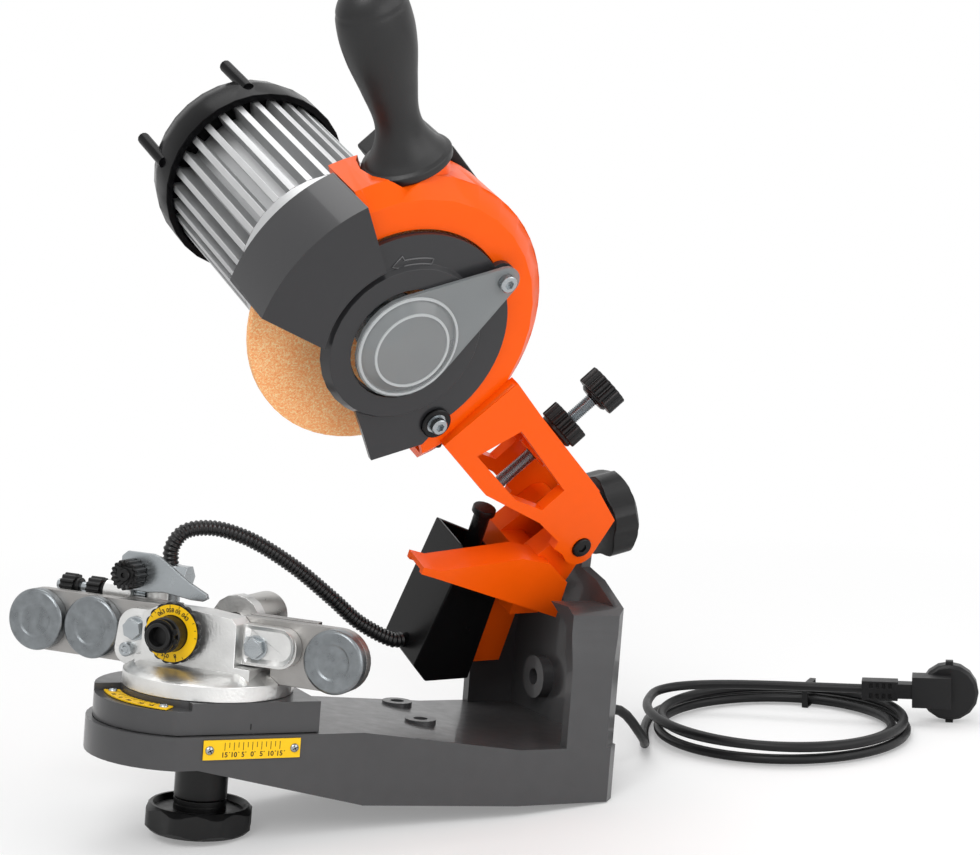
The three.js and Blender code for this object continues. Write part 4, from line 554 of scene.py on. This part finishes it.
# %% Scale plates
SIDE_MIDDLE, SIDE_STEP = 9, 2.55
SIDE_FACE = -50.16
SIDE_NUMBERS = ("15", "10", "5", "0", "5", "10", "15")
CURVE_HEIGHT = 54.16
CURVE_NUMBERS = ((184, "10"), (193, "0"), (201, "20"), (211, "30"), (218, "35"))
MARK_WIDTH = 0.32
SCREW_RADIUS = 2.4


def pan_screw(place):
    r = SCREW_RADIUS
    return spun([(0, 1.5), (r * 0.5, 1.35), (r * 0.85, 0.9), (r, 0.3), (r, 0), (0, 0)], place, 24)


def cross_slot(place):
    return gather(*[tick(SCREW_RADIUS * 1.2, 0.5, place @ shift(0, 0, 1.5) @ turn(a, "Z")) for a in (25, 115)])


marks = []
for i in range(-6, 7):
    long = 4.2 if i % 2 == 0 else 2.8
    marks.append(tick(long, MARK_WIDTH, facing(MACHINE, SIDE_MIDDLE + SIDE_STEP * i, SIDE_FACE, 37.2 - long / 2)))
for i, words in zip(range(-6, 7, 2), SIDE_NUMBERS):
    along = SIDE_MIDDLE + SIDE_STEP * i
    marks.append(lettering(words, 3.7, facing(MACHINE, along, SIDE_FACE, 30.6)))
    degree = facing(MACHINE, along + 1.2 * len(words) + 0.3, SIDE_FACE, 31.9)
    marks.append(prism(10, 0.32, -0.04, 0.04, degree, edge=0.02))
keep(gather(*marks), "side_scale_marks", mark_black, "base")
keep(tick(3.2, 0.7, facing(MACHINE, SIDE_MIDDLE, -45.46, 44.2)), "rock_pointer", mark_black, "table")

curve_marks = []
for i, heading in enumerate(range(178, 223, 4)):
    long = 3.6 if i % 2 == 0 else 2.2
    spoke = MACHINE @ turn(heading - 90, "Z")
    curve_marks.append(tick(long, MARK_WIDTH, spoke @ shift(0, 48.0 + long / 2, CURVE_HEIGHT)))
for heading, words in CURVE_NUMBERS:
    spoke = MACHINE @ turn(heading - 90, "Z") @ shift(0, 53.8, CURVE_HEIGHT)
    curve_marks.append(lettering(words, 3.2, spoke @ turn(180, "Z")))
keep(gather(*curve_marks), "vise_scale_marks", mark_black, "table")

side_heads = [facing(MACHINE, x, -50.1, 33.3) for x in (-14.6, 32.6)]
top_heads = [MACHINE @ shift(51.7 * math.cos(a), 51.7 * math.sin(a), 54.1)
             for a in (math.radians(174), math.radians(225))]
for heads, body, name in ((side_heads, "base", "side_scale"), (top_heads, "table", "vise_scale")):
    keep(gather(*[pan_screw(p) for p in heads]), name + "_screws", zinc_coat, body)
    keep(gather(*[cross_slot(p) for p in heads]), name + "_slots", mark_black, body)
print("scale marks", len(marks) + len(curve_marks))

# %% [markdown]
# Hexagon bolts with washers hold the fixed jaw to the vise. The heads are six-sided prisms, and a spun cone over
# each takes off the corners as forging does. A small round-headed bolt sits below the left one.

# %% Vise bolts
HEX_FLATS = 10


def hex_bolt(flats, place):
    washer = spun([(2, 0), (flats * 0.66, 0), (flats * 0.66, 0.8), (flats * 0.6, 1.0), (2, 1.0)], place, 40, True)
    head = prism(6, flats / math.sqrt(3), 1.0, 5.0, place @ turn(12, "Z"), edge=0.5)
    crown = spun([(0, 5.3), (flats * 0.4, 5.25), (flats * 0.47, 4.9), (flats * 0.47, 4), (0, 4)], place, 32)
    return gather(washer, head, crown)


stand_in(hex_bolt(HEX_FLATS, facing(VISE, -38.5, -15.3, 85.5)), "vise_bolt_left", zinc_coat)
stand_in(hex_bolt(HEX_FLATS, facing(VISE, 34.7, -15.3, 84.5)), "vise_bolt_right", zinc_coat)
lock_profile = [(0, 3.0), (1.6, 3.0), (2.1, 3.6), (3.4, 3.6), (3.9, 3.0), (3.9, 0), (0, 0)]
keep(spun(lock_profile, facing(VISE, -42.4, -15.1, 73.8), 32), "vise_lock_bolt", zinc_coat, "vise")
print("vise bolts", 3)

# %% [markdown]
# Two flat pieces are cut from a drawn outline. The chain stop's bracket is a zinc-plated strip that reaches over
# the jaw. The jaw's right lug has a raised lip round the bolt, which is a thin plate whose face is sunk.

# %% Plates
BRACKET_OUTLINE = [
    (-61.5, 106), (-58, 102.6), (-44, 102.2), (-34, 103.4), (-24, 102.2), (-17, 101.3), (-9.5, 101.3), (-6.6, 103),
    (-7.6, 105.6), (-18, 110.5), (-30, 118), (-37, 122.6), (-42, 124), (-58, 124), (-61.5, 121),
]
LUG_END, LUG_ROUND = 48.5, 9.0


def corner(y, start):
    angles = [math.radians(start + 90 * i / 4) for i in range(5)]
    return [(LUG_END + LUG_ROUND * math.cos(a), y + LUG_ROUND * math.sin(a)) for a in angles]


tab = prism(4, 8, 0, 3, VISE @ shift(-47, 12, 106.3) @ turn(45, "Z"), edge=0.4)
stand_in(gather(plate(BRACKET_OUTLINE, 3, facing(VISE, 0, 7.7, 0), 0.6), tab), "stop_bracket", zinc_coat)
lug = corner(87.6, 0) + [(30, 96.6), (28.5, 95.5), (28.5, 78), (30, 76.2)] + corner(85.2, 270)
keep(plate(lug, 3.4, facing(VISE, 0, -14.6, 0), 0.7, 2.6, 2.6), "jaw_lug_lip", cast_metal, "vise")
print("plates", 2)

# %% [markdown]
# The knurled knobs are moulded round a nut. The chain stop's knob has a screw end in its middle, and the two
# thumb nuts hold the guide sleeve on its rod. The hydraulic cylinder behind the jaw has fine turning marks.

# %% Knobs and cylinder on the vise
STOP_KNOB = facing(VISE, -53, 4.4, 112)
THUMB_NUTS = {"thumb_nut_outer": -102, "thumb_nut_inner": -85}
knob = gather(prism(128, 8.5, 0, 11, STOP_KNOB, 16, 1.1, 0.5, 0.9),
              spun([(0, 10.4), (1.2, 10.4), (1.5, 11.6), (3.2, 11.6), (3.6, 11.0), (3.6, 9), (0, 9)],
                   STOP_KNOB, 32))
stand_in(knob, "stop_knob", black_plastic)
for node, along in THUMB_NUTS.items():
    axle = VISE @ shift(along, 14, 99) @ turn(90, "Y")
    nut = gather(prism(120, 7, 0, 8.5, axle, 12, 1.0, 0.5),
                 spun([(0, 11), (4.6, 11), (5, 10.6), (5, 8), (0, 8)], axle, 32))
    stand_in(nut, node, black_plastic)
cylinder = [(0, 0), (13, 0)] + [(13 - 0.05 * (i % 2), 1 + 0.8 * i) for i in range(38)]
cylinder += [(12.2, 31.7), (10.5, 31.7), (10, 31.2), (0, 31.2)]
stand_in(spun(cylinder, VISE @ shift(3, 30.3, 90) @ turn(-90, "X"), 72), "clamp_cylinder", turned_steel)
print("vise knobs", 1 + len(THUMB_NUTS))

# %% [markdown]
# The stop screw sets how deep the wheel may go. It is a zinc-plated threaded rod with a ribbed knob on top, and a
# second ribbed knob locks it against the neck. The thread is a stack of fine rings, which reads the same.

# %% Stop screw and lock knob
STOP = ARM @ shift(152, 0, 0)
THREAD_FOOT, THREAD_END = -15.4, 60.5
THREAD_PITCH = 1.1
ROOT_RADIUS, CREST_RADIUS = 3.35, 3.95
thread = [(0, -16), (3.2, -16)]
z = THREAD_FOOT
while z < THREAD_END:
    thread += [(ROOT_RADIUS, z), (CREST_RADIUS, z + 0.5)]
    z += THREAD_PITCH
thread += [(3.3, 61), (0, 61)]
stand_in(spun(thread, STOP, 32), "stop_screw", zinc_coat, 60, "stop_screw_thread")
stop_rim = gather(prism(144, 13, 62.5, 74, STOP, 18, 1.9, 0.7, 1.0),
                  spun([(0, 60.5), (7.5, 60.5), (9, 61.5), (9, 63), (0, 63)], STOP, 48))
keep(stop_rim, "stop_screw_rim", black_plastic, node_body("stop_screw"))
lock_rim = gather(prism(144, 13, 34, 44.3, STOP, 18, 1.9, 0.7),
                  spun([(4.4, 31.4), (10, 31.4), (11, 32.4), (11, 34.5), (4.4, 34.5)], STOP, 48, True))
stand_in(lock_rim, "stop_lock_knob", black_plastic)
print("thread rings", len(thread) // 2 - 2)

# %% [markdown]
# Cords and raised lines are curves with a round section. A smooth one runs through given points, and a cubic one
# joins two directions.


# %% Curves
def catmull(points, per):
    """Points of a smooth curve through the given ones, with the source's centripetal spacing."""
    ends = [2 * points[0] - points[1], *points, 2 * points[-1] - points[-2]]
    out = []
    for p0, p1, p2, p3 in zip(ends, ends[1:], ends[2:], ends[3:]):
        t1 = (p1 - p0).length ** 0.5
        t2 = t1 + (p2 - p1).length ** 0.5
        t3 = t2 + (p3 - p2).length ** 0.5
        for i in range(per):
            t = t1 + (t2 - t1) * i / per
            a1 = p0 * ((t1 - t) / t1) + p1 * (t / t1)
            a2 = p1 * ((t2 - t) / (t2 - t1)) + p2 * ((t - t1) / (t2 - t1))
            a3 = p2 * ((t3 - t) / (t3 - t2)) + p3 * ((t - t2) / (t3 - t2))
            b1 = a1 * ((t2 - t) / t2) + a2 * (t / t2)
            b2 = a2 * ((t3 - t) / (t3 - t1)) + a3 * ((t - t1) / (t3 - t1))
            out.append(b1 * ((t2 - t) / (t2 - t1)) + b2 * ((t - t1) / (t2 - t1)))
    return [*out, points[-1]]


def bezier(corners, count):
    """Points of a cubic curve after its first corner."""
    out = []
    for i in range(1, count + 1):
        s = i / count
        weights = ((1 - s) ** 3, 3 * s * (1 - s) ** 2, 3 * s * s * (1 - s), s ** 3)
        out.append(sum((corner_point * w for corner_point, w in zip(corners, weights)), Vector()))
    return out


def tube(name, points, radius, material, body, closed=False, roundness=5):
    data = bpy.data.curves.new(name, "CURVE")
    data.dimensions = "3D"
    data.bevel_depth = radius * MM
    data.bevel_resolution = roundness
    data.use_fill_caps = not closed
    spline = data.splines.new("POLY")
    spline.points.add(len(points) - 1)
    for point, place in zip(spline.points, points):
        point.co = (*place, 1)
    spline.use_cyclic_u = closed
    data.materials.append(material)
    piece = bpy.data.objects.new(name, data)
    scene.collection.objects.link(piece)
    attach(piece, body)
    return piece


print("curves ready")

# %% [markdown]
# The mains cord. Its route is a smooth curve through the same points as the model's: out of the gland, down to the
# floor, round the coil in two layers and up into the plug. A curve with a round section follows it.

# %% Mains cord
CORD_RADIUS = 3.0
HANK_CENTRE = Vector((391, 10, 0))
HANK_TURNS = 2.9
HANK_RADIUS = 84
HANK_SHRINK = 9
HANK_STEPS = 24
HANK_HEIGHT = 4.4
LAYER_LIFT = 6.9
RISE_START, RISE_TURNS = 0.42, 0.4
PLUG = FLOOR @ shift(500, -27, 0) @ turn(-40, "Z")
PLUG_TAIL = (-55.5, -8, 22.3)
PLUG_LEAD, PLUG_SUNK = 9, 3
TAIL_REACH = 0.4
GLAND_FACE, GLAND_LEAD = (238.6, -20, 42), (251.3, -20, 42)


def smooth(t):
    x = min(max(t, 0), 1)
    return x * x * (3 - 2 * x)


def coil_point(turns_made):
    """A point of the hank, which narrows towards its middle turn and climbs to the second layer."""
    angle = math.radians(90 - 360 * turns_made)
    radius = HANK_RADIUS - HANK_SHRINK * min(turns_made, HANK_TURNS - turns_made)
    crossing = smooth(2 * (turns_made - HANK_TURNS / 2) + 0.5)
    rising = smooth((turns_made - HANK_TURNS + RISE_START) / RISE_TURNS)
    height = HANK_HEIGHT + LAYER_LIFT * (crossing + rising)
    return HANK_CENTRE + Vector((radius * math.cos(angle), radius * math.sin(angle), height))


def on_floor(frame_matrix, point):
    return FLOOR.inverted() @ (frame_matrix @ Vector(point))


plug_x, plug_y, plug_z = PLUG_TAIL
plug_lead = on_floor(PLUG, (plug_x - PLUG_LEAD, plug_y, plug_z))
plug_face = on_floor(PLUG, (plug_x + PLUG_SUNK, plug_y, plug_z))
turns = [coil_point(i / HANK_STEPS) for i in range(int(HANK_TURNS * HANK_STEPS) + 1)]
leave = (turns[-1] - turns[-2]).normalized()
arrive = (plug_face - plug_lead).normalized()
reach = (turns[-1] - plug_lead).length * TAIL_REACH
tail = bezier([turns[-1], turns[-1] + leave * reach, plug_lead - arrive * reach, plug_lead], 8)
free = [on_floor(MACHINE, GLAND_FACE), on_floor(MACHINE, GLAND_LEAD), Vector((277, -10, 18)),
        Vector((296, 18, 4.3)), Vector((318, 54, 3.3)), Vector((345, 84, 3.3)), Vector((372.7, 94, 4.4)),
        Vector((385, 94, 4.4))]
route = [FLOOR @ p for p in catmull(free + turns + tail + [plug_face], 4)]
cord = tube("mains_cord", route, CORD_RADIUS, cord_rubber, "base")
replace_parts(cord, "power_cord", "cord_coil")

# %% [markdown]
# The hydraulic hose runs in a ribbed sleeve. A ring is extruded along the route, and its radius swells at each
# rib. The route is cut in three stretches, each listed with the two bodies it joins.

# %% Ribbed hose
HOSE_RADIUS = 4.6
HOSE_STEP = 0.62
HOSE_SIDES = 16
HOSE_LEAD = 9.2
HOSE_RISE = 28
RIB_ROOT = 0.86
RIB_RADII = (RIB_ROOT, 1.0, 1.0, RIB_ROOT)
HOSE_ARCH = [(0.045, 0.72), (0.154, 0.98), (0.304, 1.02), (0.5, 0.78), (0.68, 0.38), (0.81, 0.06)]
HOSE_STRETCHES = [
    ("hose_front", 0, 0.36, "vise", "table"),
    ("hose_middle", 0.36, 0.72, "table", "base"),
    ("hose_rear", 0.72, 1.0, "base", "head"),
]


def even(points, step):
    """Points a fixed step apart along a polyline."""
    out = [points[0]]
    left = step
    for a, b in zip(points, points[1:]):
        span = (b - a).length
        while span >= left:
            a = a.lerp(b, left / span)
            out.append(a)
            span = (b - a).length
            left = step
        left -= span
    return out


def ribbed(points, radius):
    bm = bmesh.new()
    heading = (points[1] - points[0]).normalized()
    ring = bmesh.ops.create_circle(bm, segments=HOSE_SIDES, radius=radius * RIB_ROOT)["verts"]
    spin_to = Vector((0, 0, 1)).rotation_difference(heading).to_matrix()
    bmesh.ops.rotate(bm, verts=ring, cent=(0, 0, 0), matrix=spin_to)
    bmesh.ops.translate(bm, verts=ring, vec=points[0])
    edges = list({e for v in ring for e in v.link_edges})
    here = points[0]
    size = RIB_ROOT
    for i in range(1, len(points)):
        after = points[min(i + 1, len(points) - 1)]
        aim = (after - points[i - 1]).normalized()
        grown = bmesh.ops.extrude_edge_only(bm, edges=edges)["geom"]
        ring = [g for g in grown if isinstance(g, bmesh.types.BMVert)]
        edges = [g for g in grown if isinstance(g, bmesh.types.BMEdge)]
        bmesh.ops.translate(bm, verts=ring, vec=points[i] - here)
        bend = heading.rotation_difference(aim).to_matrix()
        bmesh.ops.rotate(bm, verts=ring, cent=points[i], matrix=bend)
        want = RIB_RADII[i % 4]
        for v in ring:
            v.co = points[i] + (v.co - points[i]) * (want / size)
        size, here, heading = want, points[i], aim
    bmesh.ops.holes_fill(bm, edges=bm.edges, sides=0)
    bmesh.ops.recalc_face_normals(bm, faces=bm.faces)
    return bm


hose_start = MACHINE.inverted() @ (VISE @ Vector((-43.0, 27.5, 116.3)))
hose_lead = MACHINE.inverted() @ (HEAD @ Vector((126.7, 8, 66)))
hose_end = MACHINE.inverted() @ (HEAD @ Vector((132.7, 8, 66)))
hose_points = [hose_start, hose_start + Vector((0, 0, HOSE_LEAD))]
hose_points += [hose_start.lerp(hose_end, a) + Vector((0, 0, h * HOSE_RISE)) for a, h in HOSE_ARCH]
hose_points += [hose_lead, hose_end]
fine_route = even(catmull(hose_points, 24), HOSE_STEP)
count = len(fine_route)
for node, low, high, first, second in HOSE_STRETCHES:
    stretch = [MACHINE @ p for p in fine_route[int(low * count):int(high * count) + 1]]
    piece = shown(ribbed(stretch, HOSE_RADIUS * MM), node + "_ribs", hose_rubber, 60)
    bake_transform(piece)
    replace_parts(piece, node)
print("hose", round(sum((b - a).length for a, b in zip(fine_route, fine_route[1:])) / 1000, 3), "m")

# %% [markdown]
# The handle is a rubbery moulding, oval in section. It swells to a palm-sized bulb, narrows to a neck and flares
# into a wide foot on the housing. A smooth curve through a few radii is spun, and then flattened a little. A
# shallow groove round the top is where the mould's halves meet.

# %% Handle
GRIP_OVAL = 0.86
GRIP_LENGTH = 100
GRIP = ARM @ shift(-60, 0, 60) @ turn(-69, "Y") @ Matrix.Diagonal((1, GRIP_OVAL, 1, 1))
SEAM_HEIGHT, SEAM_WIDTH, SEAM_DEPTH = 87.5, 0.7, 0.5
GRIP_FOOT = [(0, 0), (23.2, 0), (23.8, 0.7), (23.8, 3.4), (23.2, 4.3)]
GRIP_RADII = [
    (21.5, 5.0), (17.2, 10.2), (12.9, 19), (11.7, 28), (14.4, 45), (18.1, 64), (18.9, 78), (17.0, 90),
    (12.2, 96.6), (5.6, 99.6), (0, 100),
]
handle_profile = list(GRIP_FOOT)
for p in catmull([Vector((*pair, 0)) for pair in GRIP_RADII], 10):
    pinch = SEAM_DEPTH * math.exp(-((p.y - SEAM_HEIGHT) / SEAM_WIDTH) ** 2)
    handle_profile.append((max(p.x - pinch, 0), min(p.y, GRIP_LENGTH)))
stand_in(spun(handle_profile, GRIP, 96), "handle", grip_rubber, 40)
print("handle profile", len(handle_profile), "points")

# %% [markdown]
# Socket cap screws hold the side cover, and the clear cover turns about the upper one. Each head is a lathe shape
# whose bore is pressed to a hexagon, with a collar or a rubber washer under it. A third one sits under the neck,
# and the arm's pivot pin has a socket at both ends.

# %% Cover screws and pivot
UPPER = facing(ARM, 11, -30.0, 59)
LOWER = facing(ARM, 55.9, -29.7, -15.2)
NECK = ARM @ shift(72, -19, -13) @ turn(180, "X") @ turn(28, "Y")
PIN_HALF = 31.0
upper_screw = gather(socket_head(4.6, 3.6, 4.4, facing(ARM, 11, -35.4, 59)),
                     spun([(0, -0.1), (2.2, -0.1), (2.2, 5.4), (0, 5.4)], UPPER, 24),
                     spun([(2.4, 0), (6.2, 0), (6.2, 1.0), (2.4, 1.0)], UPPER, 32, True))
stand_in(upper_screw, "cover_screw_top", zinc_coat)
lower_screw = gather(socket_head(4.4, 4.6, 4.2, LOWER @ shift(0, 0, 1.6)),
                     spun([(0, 0), (5.6, 0), (5.6, 1.7), (0, 1.7)], LOWER, 32))
keep(lower_screw, "cover_screw_low", zinc_coat, "arm")
washer_profile = [(5.7, 0), (8.0, 0), (8.4, 0.6), (8.4, 1.9), (7.8, 2.5), (5.7, 2.5)]
keep(spun(washer_profile, LOWER, 48, True), "cover_washer_low", gloss_black, "arm")
neck_bolt = gather(spun([(0, 0), (4.4, 0), (4.4, 7), (0, 7)], NECK, 32),
                   socket_head(3.9, 5, 4, NECK @ shift(0, 0, 7)))
keep(neck_bolt, "neck_bolt", gloss_black, "arm")
pin_ends = [socket_head(6, 1.6, 4.6, HEAD @ shift(PIVOT_X, side * PIN_HALF, PIVOT_Z) @ turn(-90 * side, "X"))
            for side in (-1, 1)]
shank = spun([(0, -31.2), (5.4, -31.2), (5.4, 31.2), (0, 31.2)],
             HEAD @ shift(PIVOT_X, 0, PIVOT_Z) @ turn(90, "X"), 32)
stand_in(gather(shank, *pin_ends), "pivot_pin", gloss_black)
print("socket screws", 3)

# %% [markdown]
# The side cover has a raised arrow that shows which way the wheel turns. Its outline is one closed curve with a
# thin round section. It is coloured lighter than the cover's black as a painted highlight on its lit edges. The
# clear cover has two moulded rings round the spindle. They are coloured pale grey as a painted highlight on their
# bright edges.

# %% Rotation arrow and clear cover rings
ARROW_FACE = -29.75
ARROW_TIP = [(41.6, 145.5), (45.4, 154.5), (49.6, 147.5)]
LENS = ARM @ shift(0, -33.0, 0) @ turn(90, "X")


def on_cover(radius, degrees):
    """A point of the side cover, given by its distance and bearing from the spindle."""
    angle = math.radians(degrees)
    return ARM @ Vector((radius * math.cos(angle), ARROW_FACE, radius * math.sin(angle)))


arrow = [on_cover(43.9, 126 + 2.5 * i) for i in range(9)]
arrow += [on_cover(*point) for point in ARROW_TIP]
arrow += [on_cover(47.0, 146 - 2.5 * i) for i in range(9)]
# the arrow's lighter grey is a painted highlight on its lit edges
tube("cover_arrow", arrow, 0.55, arrow_highlight_paint, "arm", closed=True, roundness=2)
outer_ring = spun([(26.4, 2.0), (26.65, 2.9), (27.9, 2.9), (28.15, 2.0)], LENS, 96, True)
inner_ring = spun([(19.4, 6.0), (19.6, 6.7), (20.8, 6.7), (21.0, 6.0)], LENS, 96, True)
# the rings' pale grey is a painted highlight on their bright edges
keep(gather(outer_ring, inner_ring), "clear_cover_rings", ring_highlight_paint, "clear_cover")
print("arrow points", len(arrow))

# %% [markdown]
# Four soft lamps and a pale world light the machine evenly, as in a catalogue studio. The world lights at half
# strength, but it is full white to the camera, in reflections and through what is clear.

# %% Studio
WORLD_LIGHT = 0.5
SOFT_LAMPS = [
    ("key", (-1.3, -1.5, 1.9), 26, 1.2), ("fill", (1.5, -1.4, 1.2), 11, 1.5),
    ("top", (0.1, 0.6, 2.2), 17, 1.6), ("low", (0.5, -1.7, 0.30), 7, 1.0),
]
LIT_PLACE = Vector((0.0, 0.0, 0.18))


def lamp(name, place, power, size):
    data = bpy.data.lights.new(name, "AREA")
    data.energy = power
    data.size = size
    item = bpy.data.objects.new(name, data)
    item.location = place
    item.rotation_euler = (LIT_PLACE - Vector(place)).to_track_quat("-Z", "Y").to_euler()
    scene.collection.objects.link(item)


def glow_into(background, strength):
    background.inputs["Color"].default_value = (1, 1, 1, 1)
    background.inputs["Strength"].default_value = strength


def larger(tree, first, second):
    node = tree.nodes.new("ShaderNodeMath")
    node.operation = "MAXIMUM"
    tree.links.new(first, node.inputs[0])
    tree.links.new(second, node.inputs[1])
    return node.outputs["Value"]


for soft_lamp in SOFT_LAMPS:
    lamp(*soft_lamp)
world = bpy.data.worlds.new("studio")
scene.world = world
world.use_nodes = True
sky = world.node_tree
glow_into(sky.nodes["Background"], WORLD_LIGHT)
backdrop = sky.nodes.new("ShaderNodeBackground")
glow_into(backdrop, 1.0)
ray = sky.nodes.new("ShaderNodeLightPath").outputs
seen = larger(sky, larger(sky, ray["Is Camera Ray"], ray["Is Transmission Ray"]), ray["Is Glossy Ray"])
pick = sky.nodes.new("ShaderNodeMixShader")
sky.links.new(seen, pick.inputs["Fac"])
sky.links.new(sky.nodes["Background"].outputs["Background"], pick.inputs[1])
sky.links.new(backdrop.outputs["Background"], pick.inputs[2])
sky.links.new(pick.outputs["Shader"], sky.nodes["World Output"].inputs["Surface"])
print("lamps", len(SOFT_LAMPS))

# %% [markdown]
# The floor is a plain white sheet. Near the machine it is paint that takes the shadow. Further out, where it
# would fade to grey, what the camera sees of it turns to the white of the backdrop.

# %% Floor
FLOOR_HALF = 6
WHITE_SHARES = {"From Min": 0.35, "From Max": 1.0, "To Min": 0.25, "To Max": 1.0}
bm = bmesh.new()
bmesh.ops.create_grid(bm, x_segments=1, y_segments=1, size=FLOOR_HALF)
mesh = bpy.data.meshes.new("floor")
bm.to_mesh(mesh)
bm.free()
floor = bpy.data.objects.new("floor", mesh)
scene.collection.objects.link(floor)
floor_paint = bpy.data.materials.new("floor_paint")
floor_paint.use_nodes = True
tree = floor_paint.node_tree
paint = tree.nodes["Principled BSDF"]
paint.inputs["Base Color"].default_value = (0.95, 0.95, 0.95, 1)
paint.inputs["Roughness"].default_value = 0.9
white = tree.nodes.new("ShaderNodeEmission")
glow_into(white, 1.0)
place = tree.nodes.new("ShaderNodeTexCoord")
distance = tree.nodes.new("ShaderNodeVectorMath")
distance.operation = "LENGTH"
fade = tree.nodes.new("ShaderNodeMapRange")
for socket, value in WHITE_SHARES.items():
    fade.inputs[socket].default_value = value
ray = tree.nodes.new("ShaderNodeLightPath")
share = tree.nodes.new("ShaderNodeMath")
share.operation = "MULTIPLY"
whiten = tree.nodes.new("ShaderNodeMixShader")
tree.links.new(place.outputs["Object"], distance.inputs[0])
tree.links.new(distance.outputs["Value"], fade.inputs["Value"])
tree.links.new(fade.outputs["Result"], share.inputs[0])
tree.links.new(ray.outputs["Is Camera Ray"], share.inputs[1])
tree.links.new(share.outputs["Value"], whiten.inputs["Fac"])
tree.links.new(paint.outputs["BSDF"], whiten.inputs[1])
tree.links.new(white.outputs["Emission"], whiten.inputs[2])
tree.links.new(whiten.outputs["Shader"], tree.nodes["Material Output"].inputs["Surface"])
mesh.materials.append(floor_paint)
scene.view_settings.view_transform = "Standard"
print("floor", 2 * FLOOR_HALF, "m wide")
